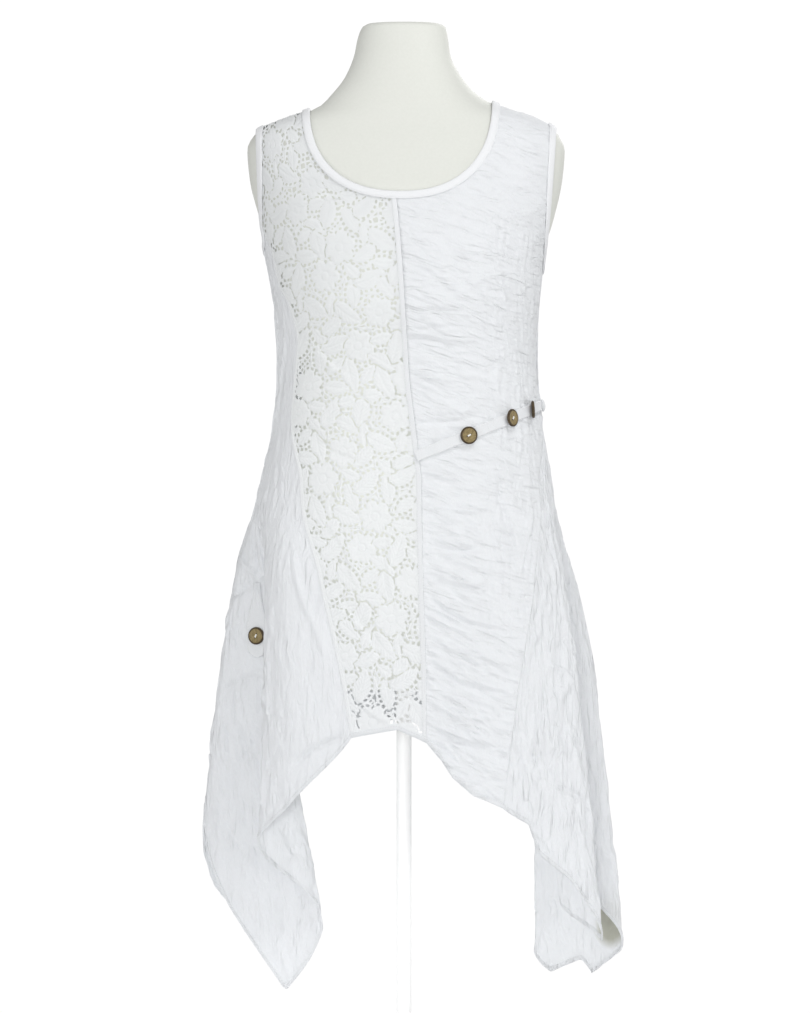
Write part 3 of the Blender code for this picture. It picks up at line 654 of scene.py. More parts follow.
def finish_grid(points, station):
    """Normals and lengths across and down a panel's grid of points."""
    along = np.gradient(points, axis=1)
    downward = np.gradient(points, axis=0)
    normals = unit(np.cross(along, downward))
    for _ in range(NORMAL_PASSES):
        beside = np.pad(normals, ((0, 0), (2, 2), (0, 0)), "edge")
        normals = unit(beside[:, :-4] + beside[:, 1:-3] + normals + beside[:, 3:-1] + beside[:, 4:])
    widths = np.linalg.norm(np.diff(points, axis=1), axis=-1)
    across = np.concatenate((np.zeros((len(points), 1)), np.cumsum(widths, axis=1)), axis=1)
    lengths = np.linalg.norm(np.diff(points, axis=0), axis=-1)
    down = np.concatenate((np.zeros((1, points.shape[1])), np.cumsum(lengths, axis=0)), axis=0)
    from_side = np.minimum(across, across[:, -1:] - across)
    return Panel(points, normals, across, down, station, down[-1:] - down, from_side, points[..., 2])


def fine_stations(first, last, pitch):
    """Stations about one pitch apart where the panel is widest, with every fold among them."""
    found = []
    for whole in range(first, last):
        edge = np.linspace(whole, whole + 1, PROBE_STEPS)
        widths = []
        for z in PROBE_HEIGHTS:
            line = on_cloth(edge, np.full(PROBE_STEPS, z))
            widths.append(np.linalg.norm(np.diff(line, axis=0), axis=-1).sum())
        count = max(4, math.ceil(max(widths) / pitch))
        found += list(np.linspace(whole, whole + 1, count + 1)[:-1])
    return np.array(found + [last])


def tube_rows(stations, top, pitch):
    """Rows of a panel from its top to the hip and on to its hem."""
    body = max(4, math.ceil(float(np.max(top - HIP_Z)) / pitch))
    skirt = max(4, math.ceil(float(np.max(HIP_Z - hem_height(stations))) / pitch))
    upper = lerp(top[None, :], HIP_Z, np.linspace(0, 1, body + 1)[:, None])
    lower = lerp(HIP_Z, hem_height(stations)[None, :], np.linspace(0, 1, skirt + 1)[1:, None])
    z = np.vstack((upper, lower))
    return on_cloth(np.broadcast_to(stations, z.shape), z)


def strap_rows(name, shares, pitch):
    """Rows down a strap from the shoulder to just above the tube's own first row."""
    count = math.ceil(STRAP_REACH / pitch)
    share = 1 - (1 - np.linspace(0, 1, count + 1)) ** SHOULDER_CROWDING
    share = share[::-1][:-1, None]
    turn, z = strap_point(name, shares[None, :], share)
    return on_body(turn, z)


def hip_shares(stations):
    turns = hip_turn(stations)
    return (turns - turns[0]) / (turns[-1] - turns[0])


def strap_foot(name, share):
    _, arm_z = strap_point(name, np.array(0.0), np.array(0.0))
    _, neck_z = strap_point(name, np.array(1.0), np.array(0.0))
    return lerp(arm_z, neck_z, share)


def front_grid(first, last, strap, arm_first, pitch):
    stations = fine_stations(first, last, pitch)
    linear = (stations - first) / (last - first)
    shares = hip_shares(stations)
    if not arm_first:
        linear, shares = 1 - linear, 1 - shares
    lower = tube_rows(stations, strap_foot(strap, linear), pitch)
    points = np.vstack((strap_rows(strap, shares, pitch), lower))
    return finish_grid(points, np.broadcast_to(stations, points.shape[:2]))


def side_grid(first, last, floor, pitch):
    stations = fine_stations(STATION[first], STATION[last], pitch)
    points = tube_rows(stations, column(floor, "z", stations, "station"), pitch)
    return finish_grid(points, np.broadcast_to(stations, points.shape[:2]))


def back_grid(pitch):
    first, centre, last = STATION["left_back"], STATION["back_centre"], STATION["right_back"]
    stations = fine_stations(first, last, pitch)
    middle = int(np.argmin(np.abs(stations - centre)))
    left = strap_foot("back_left", (stations - first) / (centre - first))
    right = strap_foot("back_right", (last - stations) / (last - centre))
    lower = tube_rows(stations, np.where(stations <= centre, left, right), pitch)
    left_strap = strap_rows("back_left", hip_shares(stations[: middle + 1]), pitch)
    right_strap = strap_rows("back_right", 1 - hip_shares(stations[middle:]), pitch)
    return stations, middle, left_strap, right_strap, lower


# ---- crinkles, creases and hems as heights off the surface ----
def crinkle(along, across, seed, length, width):
    """Crushed cloth: puffed lands between thin sharp valleys, longer than they are wide."""
    drift = noise(along / 0.06, across / 0.045, seed + 7) * 0.008
    coarse = np.abs(noise(along / length, (across + drift) / width, seed))
    fine = np.abs(noise(along / (length * 0.55), (across - drift) / (width * 0.52), seed + 1))
    thread = np.abs(noise(along / (length * 0.35), (across + 2 * drift) / (width * 0.3), seed + 2))
    return coarse + 0.45 * fine + 0.16 * thread - 0.45


def terraces(along, across, seed, pitch, length):
    """Short overlapping steps in crushed cloth, each sharp along its lower edge."""
    drift = noise(along / 0.07, across / 0.05, seed) * 0.011
    drift = drift + noise(along / 0.02, across / 0.02, seed + 1) * 0.0025
    steps = (across + drift) / pitch
    cell = np.floor(steps)
    present = smoothstep(0.0, 0.45, noise(along / length + cell * 3.7, cell * 1.31, seed + 2))
    return present * (1 - (steps - cell)) ** 1.6


def patches(along, across, seed, size=0.07):
    """Where the crushing is stronger or weaker, from about 0.3 to 1."""
    return 0.65 + 0.35 * np.clip(noise(along / size, across / size, seed) * 1.6, -1, 1)


def crease(a, b, start, end, width, depth):
    """One soft trough or ridge, a little bent and steeper on one side, between two places."""
    start, end = np.array(start), np.array(end)
    span = end - start
    length = np.linalg.norm(span)
    away = ((a - start[0]) * span[0] + (b - start[1]) * span[1]) / length**2
    off = ((a - start[0]) * span[1] - (b - start[1]) * span[0]) / length
    off = off + 0.05 * length * np.sin(np.clip(away, 0, 1) * math.pi * 1.5 + start[0] * 90)
    fade = smoothstep(-0.08, 0.25, away) * (1 - smoothstep(0.70, 1.08, away))
    steep = np.where(off > 0, width, 0.4 * width)
    return depth * fade * np.exp(-((off / steep) ** 2))


def hem_band(panel, width=0.0115, wall=0.0005):
    """The turned hem: a little thicker and puckered near the edge."""
    inside = 1 - smoothstep(width - 0.0015, width + 0.0015, panel.from_hem)
    pucker = noise(panel.across / 0.008, panel.from_hem / 0.02, 41)
    return wall * inside + 0.0008 * pucker * inside


def seam_fade(panel, width=0.006):
    return smoothstep(0.0, width, panel.from_side)


def room(panel, reach=0.012):
    """How far each place can move inward and outward before it meets another layer."""
    rows, cols = panel.across.shape
    places = panel.points.reshape(-1, 3)
    ways = panel.normals.reshape(-1, 3)
    tree = BVHTree.FromPolygons(places.tolist(), grid_faces(rows, cols))
    found = []
    for side in (-1, 1):
        limits = []
        for place, way in zip(places, side * ways):
            hit = tree.ray_cast(Vector(place + RAY_START * way), Vector(way), reach)
            limits.append(reach if hit[3] is None else hit[3])
        found.append(evened(np.array(limits).reshape(rows, cols)))
    return found


def around(field):
    """Each place's value and its eight neighbours'."""
    rows, cols = field.shape
    wide = np.pad(field, 1, "edge")
    return [wide[i : i + rows, j : j + cols] for i in range(3) for j in range(3)]


def evened(field):
    """The lowest value near each place, smoothed."""
    for _ in range(LOW_PASSES):
        field = np.minimum.reduce(around(field))
    for _ in range(SMOOTH_PASSES):
        field = sum(around(field)) / 9
    return field


def fold_calm(panel):
    """Less crinkle where the cloth turns sharply, so that it doesn't cross itself."""
    turned = np.linalg.norm(np.gradient(panel.normals, axis=1), axis=-1)
    moved = np.linalg.norm(np.gradient(panel.points, axis=1), axis=-1)
    bend = FOLD_RADIUS * turned / np.maximum(moved, LEAST_STEP)
    return evened(1 / (1 + bend**2))


def raised(panel, height):
    """A panel's points at their heights, kept off the body and off other layers."""
    inward, outward = room(panel)
    height = (LIFT + height) * fold_calm(panel) - LIFT
    height = np.clip(height, LEAST_LIFT - LIFT - ROOM_SHARE * inward, -LIFT + ROOM_SHARE * outward)
    return panel.points + panel.normals * (LIFT + height)[..., None]


def sheet_object(name, points, finish, node, inside=None):
    """A panel of cloth as a thin shell, with another material on its inner side if one is given."""
    rows, cols = points.shape[:2]
    mesh = mesh_of(name, points.reshape(-1, 3), grid_faces(rows, cols))
    mesh.flip_normals()
    thing = add_object(name, mesh, inside or finish, [node])
    add_wall(thing, CLOTH)
    if inside:
        mesh.materials.append(finish)
        thing.modifiers["wall"].material_offset = 1
    return thing


def flat_cut(points):
    """Width, length and area of a panel laid flat.

    The width is the greatest one, or less where a flared panel would fill too little of it.
    """
    widths = np.linalg.norm(np.diff(points, axis=1), axis=-1).sum(axis=1)
    lengths = np.linalg.norm(np.diff(points, axis=0), axis=-1).sum(axis=0)
    along = np.diff(points, axis=1)[:-1]
    down = np.diff(points, axis=0)[:, :-1]
    area = np.linalg.norm(np.cross(along, down), axis=-1).sum()
    length = float(lengths.max())
    return min(float(widths.max()), float(area) / (FILL_SHARE * length)), length, float(area)


# ---- the crinkled front ----
Crease = namedtuple("Crease", "x z to_x to_z width depth")
FRONT_CREASES = (
    Crease(0.026, 0.545, 0.118, 0.503, 0.0045, -0.0030),
    Crease(0.030, 0.575, 0.100, 0.560, 0.0040, 0.0022),
    Crease(0.030, 0.393, 0.105, 0.366, 0.0045, -0.0030),
    Crease(0.028, 0.425, 0.095, 0.400, 0.0040, 0.0026),
    Crease(0.028, 0.470, 0.115, 0.430, 0.0050, -0.0032),
    Crease(0.040, 0.500, 0.120, 0.462, 0.0045, 0.0024),
    Crease(0.026, 0.610, 0.090, 0.600, 0.0045, -0.0022),
    Crease(0.022, 0.650, 0.110, 0.655, 0.0045, 0.0018),
    Crease(0.018, 0.690, 0.080, 0.682, 0.0040, -0.0018),
    Crease(0.012, 0.745, 0.090, 0.765, 0.0040, -0.0016),
    Crease(0.006, 0.800, 0.070, 0.806, 0.0040, 0.0016),
    Crease(0.004, 0.850, 0.080, 0.842, 0.0040, -0.0014),
    Crease(0.117, 0.686, 0.125, 0.580, 0.0050, -0.0030),
    Crease(0.145, 0.660, 0.140, 0.560, 0.0050, 0.0025),
    Crease(0.060, 0.905, 0.130, 0.935, 0.0050, 0.0016),
    Crease(0.000, 0.940, 0.070, 0.900, 0.0045, -0.0014),
)


SLANT = (0.10, 0.38)    # how far the level crinkles slope, at the top and added lower down


def build_crinkle_front(finish):
    panel = front_grid(STATION["right_seam"], RING, "front_right", True, FRONT_PITCH)
    x, z = panel.points[..., 0], panel.points[..., 2]
    tilt = SLANT[0] + SLANT[1] * smoothstep(0.72, 0.42, z)
    along = x + z * -tilt
    across = z + x * tilt
    low = smoothstep(1.00, 0.55, z)
    strength = (0.0023 + 0.0027 * low) * patches(along, across, 3, 0.05)
    smooth_top = 1 - 0.85 * smoothstep(0.975, 1.00, z) * (x < 0.03)
    level = strength * smooth_top * crinkle(along, across, 11, 0.034, 0.0105)
    steps = (0.0008 + 0.0014 * low) * smooth_top
    level = level + steps * terraces(along, across, 14, 0.0150, 0.055)
    from_far = panel.across[:, -1:] - panel.across
    upright = 0.0026 * crinkle(z, from_far, 71, 0.055, 0.0085)
    upright = upright + 0.0012 * terraces(z, from_far, 74, 0.012, 0.08)
    beside = smoothstep(0.075, 0.112, x + 0.012 * noise(x / 0.02, z / 0.05, 77))
    beside = beside * smoothstep(0.47, 0.56, z) * smoothstep(1.06, 0.99, z)
    height = lerp(level, upright, beside)
    for row in FRONT_CREASES:
        height = height + CREASE_GAIN * crease(x, z, row[:2], row[2:4], row.width, row.depth)
    height = height * seam_fade(panel) + hem_band(panel)
    height = np.maximum(height, -0.0012 - 0.002 * smoothstep(0.95, 0.85, z))
    points = raised(panel, height)
    thing = sheet_object("front_crinkle_cloth", points, finish, "front_crinkle_panel")
    hem_tape("front_hem", points, panel, finish)
    return thing, flat_cut(panel.points)


# ---- the side panels ----
SideCrease = namedtuple("SideCrease", "station z to_station to_z width depth")
STATION_WIDTH = 0.05    # a station's nominal width, for placing creases
LEFT_SEED = 51
RIGHT_SEED = 61
Rest = namedtuple("Rest", "station z stations height level")
TAB_REST = Rest(3.5, 0.52, 0.7, 0.06, -0.0016)
LEFT_CREASES = (
    SideCrease(4.43, 0.565, 3.9, 0.610, 0.0040, -0.0030),
    SideCrease(4.43, 0.565, 4.2, 0.640, 0.0035, 0.0024),
    SideCrease(4.43, 0.565, 4.6, 0.640, 0.0035, -0.0026),
    SideCrease(4.43, 0.565, 5.0, 0.600, 0.0040, 0.0026),
    SideCrease(4.43, 0.565, 3.9, 0.560, 0.0040, 0.0024),
    SideCrease(4.43, 0.562, 5.1, 0.545, 0.0045, -0.0030),
    SideCrease(4.20, 0.460, 4.9, 0.435, 0.0040, -0.0026),
    SideCrease(4.30, 0.450, 4.1, 0.360, 0.0045, 0.0028),
    SideCrease(4.60, 0.440, 4.8, 0.300, 0.0050, -0.0032),
    SideCrease(4.20, 0.400, 4.5, 0.200, 0.0060, 0.0034),
    SideCrease(3.20, 0.560, 3.3, 0.300, 0.0050, -0.0030),
    SideCrease(2.60, 0.540, 2.5, 0.350, 0.0045, 0.0020),
    SideCrease(1.95, 0.344, 1.05, 0.388, 0.0040, -0.0024),
    SideCrease(1.50, 0.620, 1.40, 0.460, 0.0060, 0.0016),
    SideCrease(1.20, 0.560, 1.60, 0.420, 0.0060, -0.0014),
    SideCrease(5.40, 0.640, 5.50, 0.300, 0.0060, 0.0036),
    SideCrease(5.90, 0.600, 6.00, 0.260, 0.0060, -0.0036),
    SideCrease(6.50, 0.700, 6.40, 0.420, 0.0055, 0.0030),
    SideCrease(3.50, 0.860, 3.60, 0.700, 0.0045, -0.0022),
    SideCrease(2.50, 0.880, 2.70, 0.720, 0.0045, 0.0020),
    SideCrease(4.80, 0.900, 4.60, 0.740, 0.0045, 0.0022),
)
RIGHT_CREASES = (
    SideCrease(14.90, 0.680, 14.92, 0.430, 0.0030, -0.0034),
    SideCrease(14.92, 0.470, 14.94, 0.200, 0.0030, -0.0034),
    SideCrease(15.10, 0.500, 15.16, 0.430, 0.0035, 0.0030),
    SideCrease(15.30, 0.452, 15.75, 0.360, 0.0045, 0.0032),
    SideCrease(15.75, 0.360, 15.70, 0.286, 0.0040, 0.0028),
    SideCrease(15.50, 0.325, 15.20, 0.300, 0.0035, -0.0028),
    SideCrease(15.60, 0.440, 15.30, 0.500, 0.0040, -0.0028),
    SideCrease(15.20, 0.440, 15.60, 0.470, 0.0035, 0.0026),
    SideCrease(14.90, 0.600, 14.80, 0.350, 0.0050, -0.0032),
    SideCrease(15.40, 0.660, 15.50, 0.560, 0.0045, 0.0024),
    SideCrease(14.50, 0.640, 14.60, 0.400, 0.0050, 0.0030),
    SideCrease(13.60, 0.620, 13.50, 0.300, 0.0060, -0.0036),
    SideCrease(12.60, 0.600, 12.50, 0.260, 0.0060, 0.0036),
    SideCrease(11.50, 0.560, 11.60, 0.200, 0.0060, -0.0034),
    SideCrease(10.40, 0.620, 10.50, 0.300, 0.0055, 0.0032),
    SideCrease(9.50, 0.700, 9.60, 0.420, 0.0055, -0.0028),
    SideCrease(14.00, 0.840, 14.20, 0.700, 0.0045, -0.0022),
    SideCrease(15.20, 0.880, 15.00, 0.760, 0.0045, 0.0020),
    SideCrease(12.00, 0.880, 12.20, 0.720, 0.0045, 0.0022),
)


def beside_tab(station, z):
    """Where the left panel lies low, so that its folds don't hide the tab's button."""
    far = ((station - TAB_REST.station) / TAB_REST.stations) ** 2
    return np.exp(-far) * np.exp(-(((z - TAB_REST.z) / TAB_REST.height) ** 2))


def side_height(panel, seed, creases, calm):
    """Upright crinkles below the waist, lower and more level ones above it."""
    a, z = panel.station * STATION_WIDTH, panel.height_z
    level = 0.35 * smoothstep(0.80, 0.92, z)
    across = np.broadcast_to(panel.across.mean(axis=0), z.shape)  # pleats follow the columns
    upright = crinkle(z, across, seed, 0.050, 0.0110) + 0.8 * terraces(z, across, seed + 5, 0.017, 0.07)
    flat = crinkle(across, z, seed + 20, 0.030, 0.0110)
    strength = lerp(0.0050, 0.0032, smoothstep(0.45, 0.62, z)) * patches(a, z, seed + 3) * calm
    height = strength * lerp(upright, 0.55 * flat, level)
    for row in creases:
        start = (row.station * STATION_WIDTH, row.z)
        end = (row.to_station * STATION_WIDTH, row.to_z)
        height = height + CREASE_GAIN * crease(a, z, start, end, row.width, row.depth)
    if seed == LEFT_SEED:
        height = lerp(height, TAB_REST.level, beside_tab(panel.station, z))
    height = height * seam_fade(panel) + hem_band(panel)
    return np.maximum(height, -0.0010 - 0.0025 * smoothstep(0.93, 0.83, z))


def build_side(name, node, first, last, floor, seed, creases, calm_until, finish, inside):
    panel = side_grid(first, last, floor, SIDE_PITCH)
    calm = lerp(0.10, 1.0, smoothstep(*calm_until, panel.station))
    points = raised(panel, side_height(panel, seed, creases, calm))
    thing = sheet_object(name, points, finish, node, inside)
    hem_tape(name.replace("cloth", "hem"), points, panel, finish)
    return thing, flat_cut(panel.points)


# ---- the back ----
SAME_PLACE = 0.00001    # points this close are joined where a strap meets the panel
BACK_CREASES = (
    Crease(0.085, 0.900, 0.040, 0.780, 0.0080, -0.0034),
    Crease(-0.090, 0.910, -0.050, 0.790, 0.0080, -0.0034),
    Crease(0.060, 0.760, 0.075, 0.560, 0.0090, 0.0036),
    Crease(-0.055, 0.740, -0.080, 0.530, 0.0090, 0.0036),
    Crease(0.015, 0.700, 0.030, 0.480, 0.0100, -0.0034),
    Crease(-0.020, 0.660, -0.030, 0.440, 0.0090, 0.0030),
    Crease(-0.060, 0.770, 0.050, 0.745, 0.0050, -0.0024),
    Crease(-0.030, 0.735, 0.070, 0.722, 0.0050, 0.0022),
    Crease(0.100, 0.640, 0.110, 0.420, 0.0080, -0.0032),
    Crease(-0.100, 0.620, -0.115, 0.430, 0.0080, -0.0030),
    Crease(-0.070, 1.010, -0.010, 0.960, 0.0060, -0.0020),
    Crease(0.075, 1.005, 0.020, 0.950, 0.0060, -0.0020),
)


def build_back(finish):
    stations, middle, left, right, lower = back_grid(BACK_PITCH)
    whole = finish_grid(lower, np.broadcast_to(stations, lower.shape[:2]))
    z = whole.height_z
    height = 0.0026 * patches(whole.across, z, 33) * crinkle(z, whole.across, 31, 0.05, 0.013)
    for row in BACK_CREASES:
        height = height + crease(whole.points[..., 0], z, row[:2], row[2:4], row.width, row.depth)
    height = height * seam_fade(whole) + hem_band(whole)
    height *= smoothstep(0.0, 0.012, whole.down) + 1e-9
    body = raised(whole, height)
    hem_tape("back_hem", body, whole, finish)
    faces = grid_faces(*body.shape[:2])
    points = [body.reshape(-1, 3)]
    count = body.shape[0] * body.shape[1]
    for strap, columns in ((left, slice(0, middle + 1)), (right, slice(middle, None))):
        joined = np.vstack((strap, lower[:2, columns]))
        grid = finish_grid(joined, np.zeros(joined.shape[:2]))
        lifted = raised(grid, np.zeros(grid.across.shape))[:-1]
        lifted[-1] = body[0, columns]
        faces += grid_faces(*lifted.shape[:2], first=count)
        points.append(lifted.reshape(-1, 3))
        count += lifted.shape[0] * lifted.shape[1]
    mesh = mesh_of("back_cloth", np.vstack(points), faces)
    reworked(mesh, lambda form: bmesh.ops.remove_doubles(form, verts=form.verts, dist=SAME_PLACE))
    mesh.flip_normals()
    thing = add_object("back_cloth", mesh, finish, ["back_panel"])
    add_wall(thing, CLOTH)
    width, length, area = flat_cut(lower)
    strap_area = sum(flat_cut(strap)[2] for strap in (left, right))
    return thing, (width, length + flat_cut(left)[1], area + strap_area)


# ---- the lace front ----
LACE_ROW = 0.040        # between rows of motifs
LACE_STEP = 0.042       # between motifs in a row
FLOWER = 0.0195
LEAF_LENGTH = 0.0225    # half of a leaf's length
LEAF_WIDTH = 0.0100     # half of its width
RUNG_RING = 0.0040      # the ladder round each motif
CORD = 0.0011           # half of the outline cord
RUNG_PITCH = 0.0062
NET_PITCH = 0.0052
BAR_PITCH = 0.0085
BAR = 0.00095           # half of a net bar
MOTIF_SLIT = 0.0007     # half of the gap where one motif meets another
SEAM_TAPE = 0.0045      # solid cloth along the lace's own edges
LACE_ROUND = 0.19       # how round the body is where the pattern is laid on it
LACE_SHIFT = 0.03
LACE_TOP = 1.16
LACE_HEM = 0.0080       # solid cloth along the lace's hem
RUNG = 0.0013           # half of a rung's breadth
TAPE_HEIGHT = 0.0006

LACE_CREASES = (
    Crease(-0.012, 0.392, -0.060, 0.432, 0.0070, 0.0016),
    Crease(-0.030, 0.470, -0.075, 0.560, 0.0080, -0.0016),
    Crease(-0.050, 0.560, -0.095, 0.640, 0.0080, 0.0014),
    Crease(-0.005, 0.520, -0.020, 0.640, 0.0070, 0.0012),
    Crease(-0.120, 0.860, -0.060, 0.800, 0.0080, 0.0012),
    Crease(-0.110, 0.740, -0.050, 0.700, 0.0080, -0.0012),
    Crease(-0.140, 0.960, -0.090, 0.985, 0.0070, 0.0012),
)


def flower(u, v, size, petals, turn):
    """Depth inside a flower, distance from its stitched lines and distance round it."""
    far = np.hypot(u, v)
    angle = np.arctan2(v, u) + turn
    edge = size * (0.70 + 0.30 * np.abs(np.cos(petals * angle / 2)) ** 0.7)
    heart = np.abs(far - 0.27 * size)
    slits = np.abs(np.sin(petals * angle / 2)) * far + (far < 0.27 * size)
    return edge - far, np.minimum(heart, slits), angle * size


def leaf(u, v, size, turn):
    """Depth inside a leaf, distance from its veins and distance along it."""
    along = u * math.cos(turn) + v * math.sin(turn)
    away = v * math.cos(turn) - u * math.sin(turn)
    bend = away + 5.0 * along**2
    length, width = LEAF_LENGTH * size, LEAF_WIDTH * size
    depth = (width * (1 - (along / length) ** 2) - np.abs(bend)) * 0.85
    side = np.abs(((along + 1.2 * np.abs(bend)) / 0.0052) % 1 - 0.5) * 0.0052
    veins = np.minimum(np.abs(bend), side + 0.0004 + (np.abs(along) > 0.7 * length))
    return depth, veins, along


def motif_rows(height, width):
    """Where each motif goes: (kind, across, down, size, turn), staggered from row to row."""
    for row in range(math.ceil(height / LACE_ROW) + 1):
        for step in range(math.ceil(width / LACE_STEP) + 1):
            shift = 0.5 * (row % 2)
            sway = math.sin(row * 2.3 + step * 1.7)
            u = (step + shift) * LACE_STEP + 0.004 * sway
            v = row * LACE_ROW + 0.005 * math.cos(row * 1.1 + step * 2.9)
            if (row + 2 * step) % 3 == 0:
                yield "flower", u, v, 1.0 + 0.08 * sway, sway
            else:
                lean = 0.9 * (-1) ** row + 0.5 * sway
                yield "leaf", u - 0.007, v - 0.004, 1.05, lean
                yield "leaf", u + 0.010, v + 0.012, 0.85, lean + 1.25
                yield "leaf", u + 0.011, v - 0.014, 0.70, lean - 1.1


def bars(u, v, pitch, half):
    """Depth inside a square net of bars."""
    across = np.abs((u / pitch) % 1 - 0.5) * pitch
    down = np.abs((v / pitch) % 1 - 0.5) * pitch
    return half - np.minimum(pitch / 2 - across, pitch / 2 - down)


def lace_field(u, v):
    """Depth inside the lace's solid parts, in metres, and how far a place stands out."""
    outside = np.full(u.shape, -1.0)
    behind = np.full(u.shape, -1.0)
    lines = np.full(u.shape, 1.0)
    round_it = np.zeros(u.shape)
    for kind, at_u, at_v, size, turn in motif_rows(float(v.max()), float(u.max())):
        near = (np.abs(u - at_u) < 0.035) & (np.abs(v - at_v) < 0.035)
        if not near.any():
            continue
        du, dv = u[near] - at_u, v[near] - at_v
        if kind == "flower":
            rim, line, way = flower(du, dv, FLOWER * size, 6, turn)
        else:
            rim, line, way = leaf(du, dv, size, turn)
        closer = rim > outside[near]
        round_it[near] = np.where(closer, way, round_it[near])
        lines[near] = np.where(closer, line, lines[near])
        behind[near] = np.maximum(behind[near], np.minimum(outside[near], rim))
        outside[near] = np.maximum(outside[near], rim)
    cord = CORD - np.abs(outside + RUNG_RING)
    rung = RUNG - np.abs((round_it / RUNG_PITCH) % 1 - 0.5) * RUNG_PITCH
    rung = np.where((outside > -RUNG_RING) & (outside < 0.0005), rung, -1)
    turned_u, turned_v = (u + v) * 0.7071, (u - v) * 0.7071
    net = np.where(
        noise(u / 0.045, v / 0.045, 5) > -0.05,
        bars(turned_u, turned_v, NET_PITCH, BAR),
        bars(u + 0.15 * v, v - 0.2 * u, BAR_PITCH, BAR * 1.2),
    )
    net = np.where(outside < -RUNG_RING, net, -1)
    slit = (outside - behind) / 2 - MOTIF_SLIT
    solid = np.minimum(outside, slit)
    rung = np.where((outside > 0) & (slit < 0) & (noise(u / 0.004, v / 0.004, 9) > 0.25), 0.0005, rung)
    depth = np.maximum.reduce((solid, cord, rung, net))
    relief = 0.0005 * smoothstep(0.0, 0.0020, solid) + 0.0008 * smoothstep(0, CORD, cord)
    relief -= 0.0006 * (outside > 0) * np.exp(-((lines / 0.0009) ** 2))
    return depth, relief


def cut_sheet(points, field):
    """Faces of a grid where the field is positive, cut along the line where it crosses nothing."""
    cols = field.shape[1]
    places = []
    known = {}

    def place(key, point):
        if key not in known:
            known[key] = len(places)
            places.append(point)
        return known[key]

    flat = points.reshape(-1, 3)
    depth = field.ravel()
    inside = field > 0
    cells = inside[:-1, :-1] | inside[1:, :-1] | inside[:-1, 1:] | inside[1:, 1:]
    faces = []
    for i, j in np.argwhere(cells):
        start = i * cols + j
        loop = (start, start + cols, start + cols + 1, start + 1)
        face = []
        for a, b in zip(loop, loop[1:] + loop[:1]):
            if depth[a] > 0:
                face.append(place(a, flat[a]))
            if (depth[a] > 0) != (depth[b] > 0):
                low, high = min(a, b), max(a, b)
                share = min(0.9, max(0.1, depth[low] / (depth[low] - depth[high])))
                face.append(place((low, high), lerp(flat[low], flat[high], share)))
        faces.append(face)
    return places, faces


def keep_largest(form):
    """Removes every island of a mesh but the largest one."""
    seen = set()
    islands = []
    for start in form.verts:
        if start in seen:
            continue
        island, todo = [], [start]
        seen.add(start)
        while todo:
            vert = todo.pop()
            island.append(vert)
            for edge in vert.link_edges:
                other = edge.other_vert(vert)
                if other not in seen:
                    seen.add(other)
                    todo.append(other)
        islands.append(island)
    islands.sort(key=len)
    loose = [vert for island in islands[:-1] for vert in island]
    bmesh.ops.delete(form, geom=loose, context="VERTS")


def build_lace_front(finish):
    panel = front_grid(0, STATION["lace_seam"], "front_left", False, LACE_PITCH)
    x, z = panel.points[..., 0], panel.points[..., 2]
    turn = np.arcsin(np.clip(-x / LACE_ROUND, -0.99, 0.99))
    depth, relief = lace_field(LACE_SHIFT + LACE_ROUND * turn, LACE_TOP - z)
    tape = np.maximum(SEAM_TAPE - panel.from_side, LACE_HEM - panel.from_hem)
    depth = np.maximum(depth, tape)
    height = relief * (tape < 0) + TAPE_HEIGHT * smoothstep(0, 0.002, tape)
    for row in LACE_CREASES:
        height = height + crease(x, z, row[:2], row[2:4], row.width, row.depth) * seam_fade(panel)
    lifted = raised(panel, height)
    hem_tape("lace_hem", lifted, panel, finish)
    points, faces = cut_sheet(lifted, depth)
    mesh = mesh_of("front_lace", points, faces)
    reworked(mesh, keep_largest)
    thing = add_object("front_lace", mesh, finish, ["front_lace_panel"])
    return thing, flat_cut(panel.points), panel


# ---- tapes that lie along a line on the cloth ----
Rim = namedtuple("Rim", "across height")
BINDING_SECTION = (
    Rim(-0.0012, 0.0020), Rim(-0.0015, 0.0030), Rim(-0.0008, 0.0042), Rim(0.0012, 0.0047),
    Rim(0.0050, 0.0046), Rim(0.0072, 0.0044), Rim(0.0082, 0.0039), Rim(0.0082, 0.0030),
    Rim(0.0060, 0.0022),
)
STRAP_SECTION = (
    Rim(-0.0062, 0.0036), Rim(-0.0066, 0.0044), Rim(-0.0060, 0.0051), Rim(-0.0045, 0.0052),
    Rim(0.0000, 0.0050), Rim(0.0045, 0.0052), Rim(0.0060, 0.0051), Rim(0.0066, 0.0044),
    Rim(0.0062, 0.0036),
)
SEAM_STRIP_SECTION = (
    Rim(0.0002, 0.0022), Rim(0.0000, 0.0027), Rim(0.0010, 0.0031), Rim(0.0030, 0.0029),
    Rim(0.0050, 0.0031), Rim(0.0058, 0.0027), Rim(0.0056, 0.0022),
)
LACE_SEAM_SECTION = (
    Rim(-0.0010, 0.0022), Rim(-0.0008, 0.0029), Rim(0.0000, 0.0031), Rim(0.0010, 0.0029),
    Rim(0.0014, 0.0022),
)
NECK_STEPS = 150
ARM_STEPS = 60


def neck_edge():
    edge = []
    for back in (False, True):
        share = np.sin(np.radians(np.linspace(-90, 90, NECK_STEPS + 1)[:-1]))
        share = -share if back else share
        x, z = neck_point(share, back)
        edge.append(on_body(strap_turn(x, z, back, np.abs(share)), z))
    return np.vstack(edge)


